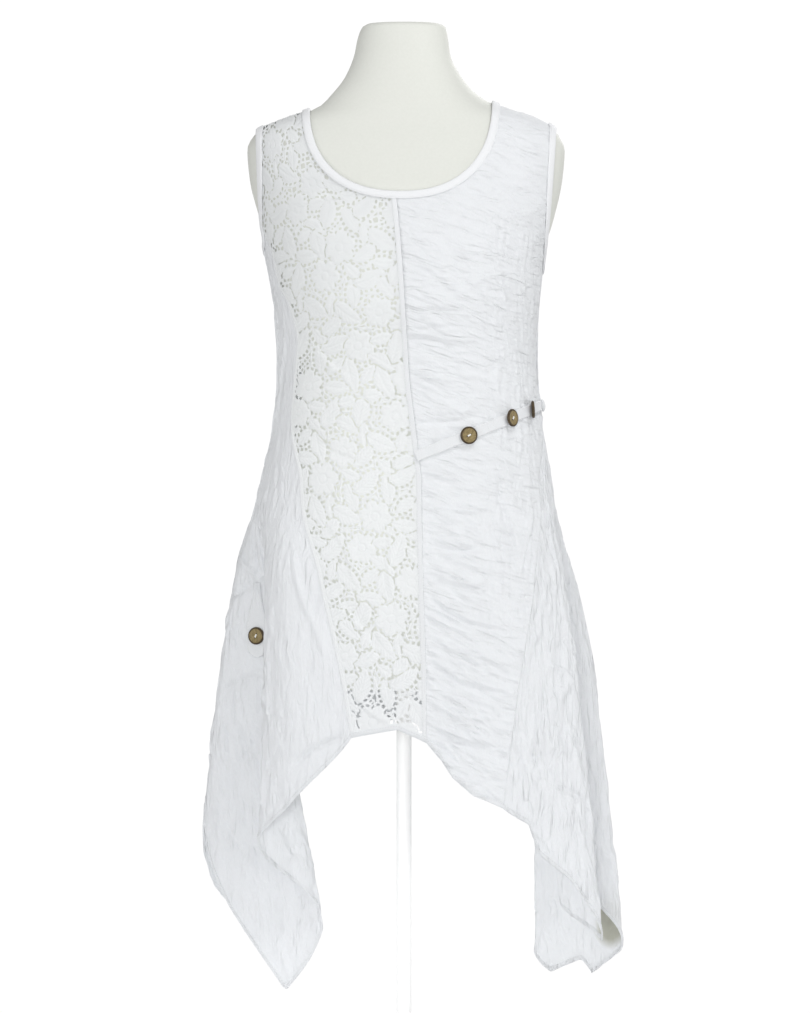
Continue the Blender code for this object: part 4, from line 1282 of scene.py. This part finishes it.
def armhole_edge(side):
    shares = 1 - (1 - np.linspace(0, 1, ARM_STEPS + 1)) ** SHOULDER_CROWDING
    front = on_body(*strap_point("front_" + side, 0.0, shares))
    back = on_body(*strap_point("back_" + side, 0.0, shares[-2::-1]))
    if side == "left":
        first, last, table = STATION["left_back"], STATION["lace_seam"], FLOOR_LEFT
    else:
        first, last, table = STATION["right_back"], STATION["right_seam"], FLOOR_RIGHT
    station = np.linspace(first, last, ARM_STEPS + 1)[1:-1]
    z = column(table, "z", station, "station")
    return smooth_loop(np.vstack((front, back, on_body(turn_on(station, z), z))))


def smooth_loop(edge, rounds=3):
    """Rounds off small corners where the parts of a closed line meet."""
    for _ in range(rounds):
        edge = 0.5 * edge + 0.25 * (np.roll(edge, 1, axis=0) + np.roll(edge, -1, axis=0))
    return edge


def even_line(line, step, closed):
    """Points at equal distances along a line."""
    if closed:
        line = np.vstack((line, line[:1]))
    lengths = np.concatenate(([0], np.cumsum(np.linalg.norm(np.diff(line, axis=0), axis=1))))
    count = max(2, round(lengths[-1] / step))
    at = np.linspace(0, lengths[-1], count + 1)
    if closed:
        at = at[:-1]
    return np.stack([np.interp(at, lengths, line[:, k]) for k in range(3)], axis=1)


def frames_along(line, normals, closed):
    if closed:
        tangent = unit(np.roll(line, -1, axis=0) - np.roll(line, 1, axis=0))
    else:
        tangent = unit(np.gradient(line, axis=0))
    return unit(np.cross(tangent, normals))


def on_shoulders(line, across, distance):
    """A place beside a line on the body, kept on the body, with its normal."""
    place = line + across * distance
    z = np.minimum(place[:, 2], ridge_z(place[:, 0]) - 0.0001)
    place = np.column_stack((place[:, :2], z))
    turn = turn_of(place)
    return on_body(turn, z), body_normal(turn, z)


def tape_mesh(name, line, section, closed, side=1, ripple=0.0):
    """A tape swept along a line on the body, its section given by distance and height."""
    normals = body_normal(turn_of(line), line[:, 2])
    across = frames_along(line, normals, closed)
    wave = ripple * noise(np.arange(len(line)) / 4.0, np.zeros(len(line)), 77)
    rings = []
    for rim in section:
        place, normal = on_shoulders(line, across, side * rim.across)
        rings.append(place + normal * (rim.height + wave * (rim.height > 0.0035))[:, None])
    points = np.stack(rings, axis=1)
    return closed_tube(name, points, closed)


def closed_tube(name, points, closed):
    """A tube from rings of points, its ends filled unless it closes on itself."""
    rows, cols = points.shape[:2]
    faces = grid_faces(rows, cols, wrap_rows=closed, wrap_cols=True)
    if not closed:
        faces += end_faces(rows, cols)
    mesh = mesh_of(name, points.reshape(-1, 3), faces)
    reworked(mesh, face_outward)
    return mesh


STITCH_LENGTH = 0.0021
STITCH_PITCH = 0.0032
STITCH_WIDTH = 0.00055
BINDING_STITCHES = Rim(0.0066, 0.0046)
STRIP_STITCHES = (Rim(0.0012, 0.0031), Rim(0.0054, 0.0031))
stitch_points = []
stitch_faces = []


def add_stitch(centre, along, normal, length=STITCH_LENGTH, width=STITCH_WIDTH):
    """One stitch: a small raised bar, thickest in its middle."""
    side = np.cross(along, normal)
    first = len(stitch_points)
    for share, swell in ((-1, 0.25), (-0.4, 1.0), (0.4, 1.0), (1, 0.25)):
        middle = centre + along * share * length / 2
        for angle in (0, 90, 180, 270):
            reach = width / 2 * swell
            offset = side * math.cos(math.radians(angle)) + normal * math.sin(math.radians(angle))
            stitch_points.append(middle + offset * reach)
    for ring in range(3):
        for k in range(4):
            a, b = first + ring * 4 + k, first + ring * 4 + (k + 1) % 4
            stitch_faces.append((a, b, b + 4, a + 4))
    stitch_faces.append(tuple(first + k for k in (3, 2, 1, 0)))
    stitch_faces.append(tuple(first + 12 + k for k in range(4)))


def stitch_line(line, normals, closed=False):
    even = even_line(line, STITCH_PITCH, closed)
    near = [int(np.argmin(((line - point) ** 2).sum(axis=1))) for point in even]
    ahead = np.gradient(even, axis=0)
    for point, index, along in zip(even, near, unit(ahead)):
        add_stitch(point, along, normals[index])


def build_bindings(finish):
    bands = (
        ("neck_tape", "neck_binding", neck_edge(), 1),
        ("left_armhole_tape", "armhole_binding_left", armhole_edge("left"), 1),
        ("right_armhole_tape", "armhole_binding_right", armhole_edge("right"), -1),
    )
    for name, node, edge, side in bands:
        line = even_line(edge, 0.0028, True)
        mesh = tape_mesh(name, line, BINDING_SECTION, True, side, 0.0002)
        add_object(name, mesh, finish, [node])
        normals = body_normal(turn_of(line), line[:, 2])
        across = frames_along(line, normals, True)
        place, normal = on_shoulders(line, across, side * BINDING_STITCHES.across)
        stitch_line(place + normal * BINDING_STITCHES.height, normal, True)


def seam_line(panel, col, inset, lift):
    """A line down a panel's grid, some way in from its edge, with normals and side directions."""
    near = panel.across if col == 0 else panel.across[:, -1:] - panel.across
    order = slice(None) if col == 0 else slice(None, None, -1)
    columns = [np.interp(inset, row[order], np.arange(panel.points.shape[1])[order]) for row in near]
    index = np.array(columns)
    low = np.clip(index.astype(int), 0, panel.points.shape[1] - 2)
    share = (index - low)[:, None]
    rows = np.arange(len(index))
    place = lerp(panel.points[rows, low], panel.points[rows, low + 1], share)
    normal = unit(lerp(panel.normals[rows, low], panel.normals[rows, low + 1], share))
    return place + normal * lift, normal


def seam_tape(name, panel, col, section, finish):
    """A folded strip down a panel's edge, from the neckline or armhole to the hem."""
    rings = []
    for rim in section:
        place, _ = seam_line(panel, col, max(rim.across, 0.0), rim.height)
        if rim.across < 0:
            edge, _ = seam_line(panel, col, 0.004, rim.height)
            place = place + unit(place - edge) * -rim.across
        rings.append(place[::2])
    points = np.stack(rings, axis=1)
    add_object(name, closed_tube(name, points, False), finish)
    if section is SEAM_STRIP_SECTION:
        for row in STRIP_STITCHES:
            stitch_line(*seam_line(panel, col, row.across, row.height))


HEM_SECTION = (
    Rim(-0.0006, 0.0000), Rim(0.0000, 0.0010), Rim(0.0030, 0.0012), Rim(0.0050, 0.0010),
    Rim(0.0056, 0.0004), Rim(0.0050, -0.0008), Rim(0.0000, -0.0009),
)
HEM_STITCHES = Rim(0.0044, 0.0013)


def hem_line(points, panel, inset, lift):
    """A line of points a little way up from the hem, with the cloth's normals."""
    rows = np.arange(points.shape[0])
    index = np.array([
        np.interp(max(inset, 0.0), column[::-1], rows[::-1]) for column in panel.from_hem.T
    ])
    low = np.clip(index.astype(int), 0, points.shape[0] - 2)
    share = (index - low)[:, None]
    cols = np.arange(points.shape[1])
    place = lerp(points[low, cols], points[low + 1, cols], share)
    normal = unit(lerp(panel.normals[low, cols], panel.normals[low + 1, cols], share))
    if inset < 0:
        place = place + unit(points[-1] - points[-2]) * -inset
    return place + normal * lift, normal


def hem_tape(name, points, panel, finish):
    """The turned hem along a panel's lower edge, with its line of stitches."""
    rings = [hem_line(points, panel, rim.across, rim.height)[0] for rim in HEM_SECTION]
    add_object(name, closed_tube(name, np.stack(rings, axis=1), False), finish)
    stitch_line(*hem_line(points, panel, HEM_STITCHES.across, HEM_STITCHES.height))


# ---- strap and tab ----
STRAP_STITCHES = Rim(0.0050, 0.0053)    # to each side of the strap's middle
KEEPER_X = (0.0975, 0.1035)     # the two stitched edges of the keeper on the strap
KEEPER_REACH = 0.0046
KNOT_X = 0.1615
KNOT_LIFT = 0.0065
KNOT_RADII = (0.0075, 0.0035, 0.0048)
TAB_STITCHES = 0.80     # as a share of half the tab's width


def strap_line(turn):
    start_x, start_z = STRAP_START
    x = on_body(turn, np.full(turn.shape, STRAP_LEVEL))[:, 0]
    return on_body(turn, start_z + STRAP_SLOPE * (x - start_x))


def ball(name, centre, axes, radii, finish, slot):
    """A small knot: an ellipsoid with its axes and radii given."""
    form = bmesh.new()
    bmesh.ops.create_icosphere(form, subdivisions=3, radius=1)
    for vert in form.verts:
        lumpy = 1 + 0.06 * math.sin(9 * vert.co.x + 4 * vert.co.z) * math.cos(7 * vert.co.y)
        offset = sum(axes[k] * radii[k] * vert.co[k] * lumpy for k in range(3))
        vert.co = Vector(centre + offset)
    mesh = bpy.data.meshes.new(name)
    form.to_mesh(mesh)
    form.free()
    return add_object(name, mesh, finish)


def nearest_in_front(line, x):
    """Which point of a line on the body's front half is nearest to this X."""
    return int(np.argmin(np.abs(line[:, 0] - x) + (line[:, 1] > 0)))


def build_strap(finish):
    start = float(turn_at(np.array(STRAP_START[0]), np.array(STRAP_START[1])))
    line = even_line(strap_line(np.linspace(start, STRAP_END_TURN, 90)), 0.0025, False)
    mesh = tape_mesh("strap_tape", line, STRAP_SECTION, False, 1, 0.0003)
    add_object("strap_tape", mesh, finish, ["button_strap"])
    normals = body_normal(turn_of(line), line[:, 2])
    across = frames_along(line, normals, False)
    for side in (-1, 1):
        place, normal = on_shoulders(line, across, side * STRAP_STITCHES.across)
        stitch_line(place + normal * STRAP_STITCHES.height, normal)
    for x in KEEPER_X:
        k = nearest_in_front(line, x)
        for step in np.linspace(-KEEPER_REACH, KEEPER_REACH, 4):
            place, normal = on_shoulders(line[k : k + 1], across[k : k + 1], step)
            add_stitch(place[0] + normal[0] * STRAP_STITCHES.height, across[k], normal[0])
    k = nearest_in_front(line, KNOT_X)
    axes = (across[k], normals[k], np.cross(across[k], normals[k]))
    ball("strap_knot", line[k] + normals[k] * KNOT_LIFT, axes, KNOT_RADII, finish, "binding")


def tab_half_width(share):
    body = lerp(TAB_TOP_WIDTH, TAB_WIDTH, smoothstep(0.05, 0.62, share)) / 2
    end = np.maximum(0.0, (share - 0.84) / 0.16)
    return body * np.sqrt(np.maximum(0.02, 1 - end * end * 0.97))


def tab_points(share, across, lift):
    z = lerp(TAB_TOP, TAB_BOTTOM, share)
    centre = on_cloth(np.full(z.shape, TAB_STATION), z)
    beside = on_cloth(np.full(z.shape, TAB_STATION + 0.1), z)
    along = np.linalg.norm(beside - centre, axis=-1) / 0.1
    station = TAB_STATION + across * tab_half_width(share) / along
    step, rise = 0.04, 0.003
    point = on_cloth(station, z)
    round_it = on_cloth(station + step, z) - on_cloth(station - step, z)
    up_it = on_cloth(station, z + rise) - on_cloth(station, z - rise)
    normal = unit(np.cross(up_it, round_it))
    return point + normal * np.asarray(lift)[..., None], normal


def build_tab(finish):
    share, across = np.meshgrid(np.linspace(0, 1, 60), np.linspace(-1, 1, 19), indexing="ij")
    gather = 0.0012 * np.cos(across * 9) * (1 - smoothstep(0.0, 0.5, share))
    edge = 0.0012 * np.abs(across) ** 6
    curl = 0.0010 * smoothstep(0.8, 1.0, share)
    top, _ = tab_points(share, across, 0.0053 + gather - edge + curl)
    under, _ = tab_points(share, across, 0.0038 + curl)
    points = np.concatenate((top, under[:, ::-1]), axis=1)
    add_object("tab_cloth", closed_tube("tab_cloth", points, False), finish, ["side_tab"])
    for side in (-TAB_STITCHES, TAB_STITCHES):
        line_share = np.linspace(0.12, 0.90, 60)
        place, normal = tab_points(line_share, np.full(60, side), np.full(60, 0.0052))
        stitch_line(place, normal)


# ---- buttons ----
Turned = namedtuple("Turned", "radius height")     # as shares of the button's own
BUTTON_SHAPE = (
    Turned(0.00, 0.00), Turned(0.70, 0.00), Turned(0.90, 0.08), Turned(0.99, 0.30),
    Turned(1.00, 0.52), Turned(0.975, 0.78), Turned(0.92, 0.95), Turned(0.86, 1.00),
    Turned(0.80, 0.97), Turned(0.74, 0.86), Turned(0.60, 0.76), Turned(0.35, 0.72),
    Turned(0.00, 0.71),
)
FACE_RADIUS = 0.80      # the paler dished face, inside the dark rim
FACE_HEIGHT = 0.73
HOLE_OFFSET = 0.0021
HOLE_RADIUS = 0.0010
THREAD_RADIUS = 0.00055
BUTTON_TILTS = ((0.0, 0.0, -0.05), (0.30, 0.10, 0.0), (1.20, 0.55, 0.0))  # how each leans
BUTTON_STEPS = 64


def turned_body(form):
    verts = [
        form.verts.new((row.radius * BUTTON_RADIUS, 0, row.height * BUTTON_HEIGHT))
        for row in BUTTON_SHAPE
    ]
    edges = [form.edges.new(pair) for pair in zip(verts, verts[1:])]
    bmesh.ops.spin(
        form, geom=verts + edges, axis=(0, 0, 1), cent=(0, 0, 0), steps=BUTTON_STEPS, angle=math.tau
    )
    bmesh.ops.remove_doubles(form, verts=form.verts, dist=0.00002)
    for face in form.faces:
        middle = face.calc_center_median()
        dished = math.hypot(middle.x, middle.y) < FACE_RADIUS * BUTTON_RADIUS
        face.material_index = 0 if dished and middle.z > BUTTON_HEIGHT / 2 else 1


def disc(form, x, radius, height, index):
    made = bmesh.ops.create_cone(
        form, cap_ends=True, segments=20, radius1=radius, radius2=radius, depth=0.0004
    )
    for vert in made["verts"]:
        vert.co += Vector((x, 0, height))
    for face in {face for vert in made["verts"] for face in vert.link_faces}:
        face.material_index = index


def thread_bar(form, offset, height):
    """A strand from hole to hole, bowed up a little in the middle."""
    rings = []
    for k in range(9):
        share = k / 8
        x = lerp(-HOLE_OFFSET, HOLE_OFFSET, share)
        z = height + 0.0006 * math.sin(share * math.pi)
        rings.append([
            form.verts.new((x, offset + THREAD_RADIUS * math.cos(a), z + THREAD_RADIUS * math.sin(a)))
            for a in (k8 * math.tau / 8 for k8 in range(8))
        ])
    for low, high in zip(rings, rings[1:]):
        for k in range(8):
            face = form.faces.new((low[k], low[(k + 1) % 8], high[(k + 1) % 8], high[k]))
            face.material_index = 3


def button_mesh(name):
    form = bmesh.new()
    turned_body(form)
    face = FACE_HEIGHT * BUTTON_HEIGHT
    # near-black discs on the face where the holes are: painted shade inside the holes
    for x in (-HOLE_OFFSET, HOLE_OFFSET):
        disc(form, x, HOLE_RADIUS, face, 2)
    for offset in (-0.0004, 0.0004):
        thread_bar(form, offset, face + 0.0002)
    bmesh.ops.recalc_face_normals(form, faces=form.faces)
    mesh = bpy.data.meshes.new(name)
    form.to_mesh(mesh)
    form.free()
    return mesh


def build_button(number, seat, normal, turn, finishes):
    name = f"coconut_button_{number}"
    mesh = button_mesh(name)
    button = add_object(name, mesh, finishes[0], [f"button_{number}"], 35)
    for finish in finishes[1:]:
        mesh.materials.append(finish)
    button.location = Vector(seat)
    button.rotation_mode = "QUATERNION"
    aim = Vector(normal).to_track_quat("Z", "Y")
    button.rotation_quaternion = aim @ Quaternion((0, 0, 1), turn)


def build_buttons(finishes):
    for number, x in enumerate(BUTTON_X, 1):
        middle = strap_line(turn_at(np.array([x]), np.array([STRAP_LEVEL])))
        normal = body_normal(turn_of(middle), middle[:, 2])
        aim = unit(normal[0] + np.array(BUTTON_TILTS[number - 1]))
        seat = (middle + normal * BUTTON_LIFT)[0]
        build_button(number, seat, aim, 0.5 * number, finishes)
    share = np.array([(TAB_TOP - TAB_BUTTON_Z) / (TAB_TOP - TAB_BOTTOM)])
    place, normal = tab_points(share, np.zeros(1), np.array([TAB_BUTTON_LIFT]))
    build_button(4, place[0], normal[0], 1.2, finishes)


# ---- the dress form ----
FORM_STEPS = 128
FORM_ROW = 0.007


def build_form(finish):
    """The same body on a finer grid, finest at the rounded edge of its neck."""
    low, high = FORM[-1].z, FORM[0].z
    z = np.linspace(high, low, math.ceil((high - low) / FORM_ROW) + 1)
    z = np.sort(np.concatenate((z, np.linspace(high, high - 0.012, 9)[1:-1])))[::-1]
    turns = np.linspace(0, 360, FORM_STEPS + 1)[:-1]
    sides = [side[:, None] for side in form_sides(z)]
    x, y = oval(sides, turns[None, :])
    points = np.stack((x, y, np.broadcast_to(z[:, None], x.shape)), axis=-1)
    rows, cols = points.shape[:2]
    faces = grid_faces(rows, cols, wrap_cols=True)
    faces += end_faces(rows, cols)
    mesh = mesh_of("form_cover", points.reshape(-1, 3), faces)
    reworked(mesh, face_outward)
    add_object("form_cover", mesh, finish, ["form_torso"], 50)


# ---- camera, light and room ----
CAMERA_DISTANCE = 7.0
CAMERA_X = 0.0012
CAMERA_Z = 0.6528
VIEW_HEIGHT = 1013 * 0.0012     # what the picture's height covers at the form's axis
SENSOR = 36.0
FLOOR_RADIUS = 0.42


def build_camera():
    camera = bpy.data.objects.new("camera", bpy.data.cameras.new("camera"))
    bpy.context.scene.collection.objects.link(camera)
    camera.location = (CAMERA_X, -CAMERA_DISTANCE, CAMERA_Z)
    camera.rotation_euler = (math.radians(90), 0, 0)
    camera.data.sensor_width = SENSOR
    camera.data.lens = SENSOR * CAMERA_DISTANCE / VIEW_HEIGHT
    camera.data.clip_start = 0.1
    camera.data.clip_end = 50
    bpy.context.scene.camera = camera


Lamp = namedtuple("Lamp", "name x y z size watts")
LAMPS = (
    Lamp("key", 1.2, -1.4, 3.3, 0.5, 31.0),
    Lamp("front", -0.6, -4.5, 0.5, 1.0, 61.0),
    Lamp("back", 1.0, 2.8, 2.4, 0.6, 46.0),
    Lamp("right", 2.9, -0.8, -0.8, 0.8, 15.0),
    Lamp("left", -2.4, -3.0, -0.8, 0.8, 13.0),
)
HORIZON = 1.03          # how bright the room is level with the eye, which is the background
CEILING = 0.42          # and further up and down
HORIZON_BAND = 0.15     # half the band's height, as the sine of its angle
HORIZON_FADE = 0.32


def build_lights():
    for row in LAMPS:
        data = bpy.data.lights.new(row.name, "AREA")
        data.size = row.size
        data.energy = row.watts
        lamp = bpy.data.objects.new(row.name, data)
        bpy.context.scene.collection.objects.link(lamp)
        lamp.location = (row.x, row.y, row.z)
        aim = Vector((0, 0, 0.65)) - lamp.location
        lamp.rotation_euler = aim.to_track_quat("-Z", "Y").to_euler()
    build_world()
    bpy.context.scene.view_settings.view_transform = "Standard"


def build_world():
    """A white horizon for the background, with less light from above and below."""
    world = bpy.data.worlds.new("studio")
    bpy.context.scene.world = world
    world.use_nodes = True
    nodes, links = world.node_tree.nodes, world.node_tree.links
    place = nodes.new("ShaderNodeTexCoord")
    parts = nodes.new("ShaderNodeSeparateXYZ")
    upright = nodes.new("ShaderNodeMath")
    upright.operation = "ABSOLUTE"
    band = nodes.new("ShaderNodeMapRange")
    band.interpolation_type = "SMOOTHSTEP"
    band.inputs["From Min"].default_value = HORIZON_BAND
    band.inputs["From Max"].default_value = HORIZON_FADE
    band.inputs["To Min"].default_value = HORIZON
    band.inputs["To Max"].default_value = CEILING
    links.new(place.outputs["Generated"], parts.inputs["Vector"])
    links.new(parts.outputs["Z"], upright.inputs[0])
    links.new(upright.outputs["Value"], band.inputs["Value"])
    background = nodes["Background"]
    background.inputs["Color"].default_value = (1, 1, 1, 1)
    links.new(band.outputs["Result"], background.inputs["Strength"])


def build_floor():
    bpy.ops.mesh.primitive_circle_add(
        vertices=96, radius=FLOOR_RADIUS, fill_type="NGON", location=(0, 0, -0.0002)
    )
    floor = bpy.context.object
    floor.name = "studio_floor"
    floor.data.materials.append(principled("pale_floor", (0.86, 0.86, 0.86), 0.8))


# ---- colours, and what is set to match the photo ----
LINEN = (0.910, 0.925, 0.945)
LINEN_DIM = (0.875, 0.89, 0.91)
LACE = (0.905, 0.92, 0.935)
LACE_DIM = (0.88, 0.895, 0.91)
TAPE = (0.79, 0.80, 0.815)
TAPE_DIM = (0.76, 0.77, 0.785)
COVER = (0.70, 0.71, 0.665)
COVER_DIM = (0.685, 0.695, 0.65)
COCONUT_FACE = (0.30, 0.235, 0.110)
COCONUT_FACE_DARK = (0.17, 0.125, 0.055)
COCONUT_RIM = (0.075, 0.050, 0.022)
COCONUT_RIM_DARK = (0.040, 0.026, 0.012)
# painted shade in the button holes
HOLE_PAINTED_SHADE = (0.02, 0.015, 0.01)
THREAD = (0.85, 0.84, 0.80)
STRIP = (0.75, 0.765, 0.78)
STRIP_DIM = (0.71, 0.725, 0.74)
STAND = (0.93, 0.93, 0.93)
STAND_DIM = (0.91, 0.91, 0.91)
FOLD_PAINTED_SHADE_COLOUR = (0.46, 0.46, 0.38)
FOLD_PAINTED_SHADE_SPOT = PaintedShade(0.248, 0.155, 0.022, 0.036)      # painted shade inside the right tail's closed fold
LINEN_THROUGH = 0.24    # shares of the light that come through
LACE_THROUGH = 0.30
INSIDE_THROUGH = 0.20
Crush = namedtuple("Crush", "stretch tilt scale depth")
PLAIN_CRUSH = Crush((1, 1, 5), 0.0, 120, 0.0075)
LEFT_CRUSH = Crush((1, 1, 4), 0.0, 100, 0.0052)
LEVEL_CRUSH = Crush((4, 4, 1), 0.30, 115, 0.0055)
INSIDE_CRUSH = Crush((1, 1, 3), 0.0, 90, 0.0060)
# painted light: the form's cover and the stand's paint glow, though they are no lamps
Glow = namedtuple("Glow", "low high strength")
COVER_GLOW = Glow(0.80, 1.04, 0.30)
STAND_GLOW = Glow(2.0, 3.0, 0.14)       # painted light, even all over, because the stand is lower than this


def dress_cad(finish):
    for name in ("stand_base", "stand_pole"):
        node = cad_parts[name]
        node.data.materials.clear()
        node.data.materials.append(finish)


def linen_cloth(name, crushed):
    made = patterned(name, LINEN_DIM, LINEN, 0.9, 900, (1, 1, 0.35), 0.25, 0.25)
    return let_through(crush(made, *crushed), LINEN, LINEN_THROUGH)


def main():
    linen = linen_cloth("white_linen", PLAIN_CRUSH)
    left = linen_cloth("left_linen", LEFT_CRUSH)
    level = linen_cloth("level_linen", LEVEL_CRUSH)
    lace = patterned("cotton_lace", LACE_DIM, LACE, 0.9, 1400, (1, 1, 1), 0.35, 0.2)
    let_through(lace, LACE, LACE_THROUGH)
    tape = patterned("cotton_tape", TAPE_DIM, TAPE, 0.85, 1100, (1, 1, 1), 0.2, 0.2)
    strip = patterned("seam_strip", STRIP_DIM, STRIP, 0.9, 1200, (1, 1, 1), 0.4, 0.2)
    # the cloth's inner side, with painted shade deep in one fold of the right tail
    inside = inside_with_painted_shade("linen_inside_painted_shade", LINEN, FOLD_PAINTED_SHADE_COLOUR, FOLD_PAINTED_SHADE_SPOT)
    let_through(crush(inside, *INSIDE_CRUSH), LINEN, INSIDE_THROUGH)
    cuts = [build_crinkle_front(level)]
    lace_thing, lace_cut, lace_panel = build_lace_front(lace)
    cuts.append((lace_thing, lace_cut))
    cuts.append(build_side(
        "left_side_cloth", "left_side_panel", "lace_seam", "left_back", FLOOR_LEFT, LEFT_SEED,
        LEFT_CREASES, (1.8, 2.4), left, inside,
    ))
    cuts.append(build_side(
        "right_side_cloth", "right_side_panel", "right_back", "right_seam", FLOOR_RIGHT, RIGHT_SEED,
        RIGHT_CREASES, (0.0, 1.0), linen, inside,
    ))
    cuts.append(build_back(linen))
    build_bindings(tape)
    seam_tape("centre_seam_strip", lace_panel, 0, SEAM_STRIP_SECTION, strip)
    seam_tape("lace_seam_ridge", lace_panel, -1, LACE_SEAM_SECTION, strip)
    build_strap(strip)
    build_tab(strip)
    face = patterned("coconut_face", COCONUT_FACE_DARK, COCONUT_FACE, 0.5, 260, (1, 3, 1), 0.2)
    rim = patterned("coconut_rim", COCONUT_RIM_DARK, COCONUT_RIM, 0.45, 320, (1, 1, 1), 0.2)
    build_buttons((face, rim, principled("hole", HOLE_PAINTED_SHADE, 0.9), principled("thread", THREAD, 0.9)))
    mesh = mesh_of("topstitching", stitch_points, stitch_faces)
    add_object("topstitching", mesh, tape)
    cover = patterned("form_cover", COVER_DIM, COVER, 0.75, 300, (1, 1, 1), 0.1)
    build_form(give_light(cover, COVER, *COVER_GLOW))
    paint = patterned("stand_paint", STAND_DIM, STAND, 0.4, 120, (1, 1, 1), 0.0)
    dress_cad(give_light(paint, STAND, *STAND_GLOW))
    build_floor()
    build_lights()
    build_camera()


main()
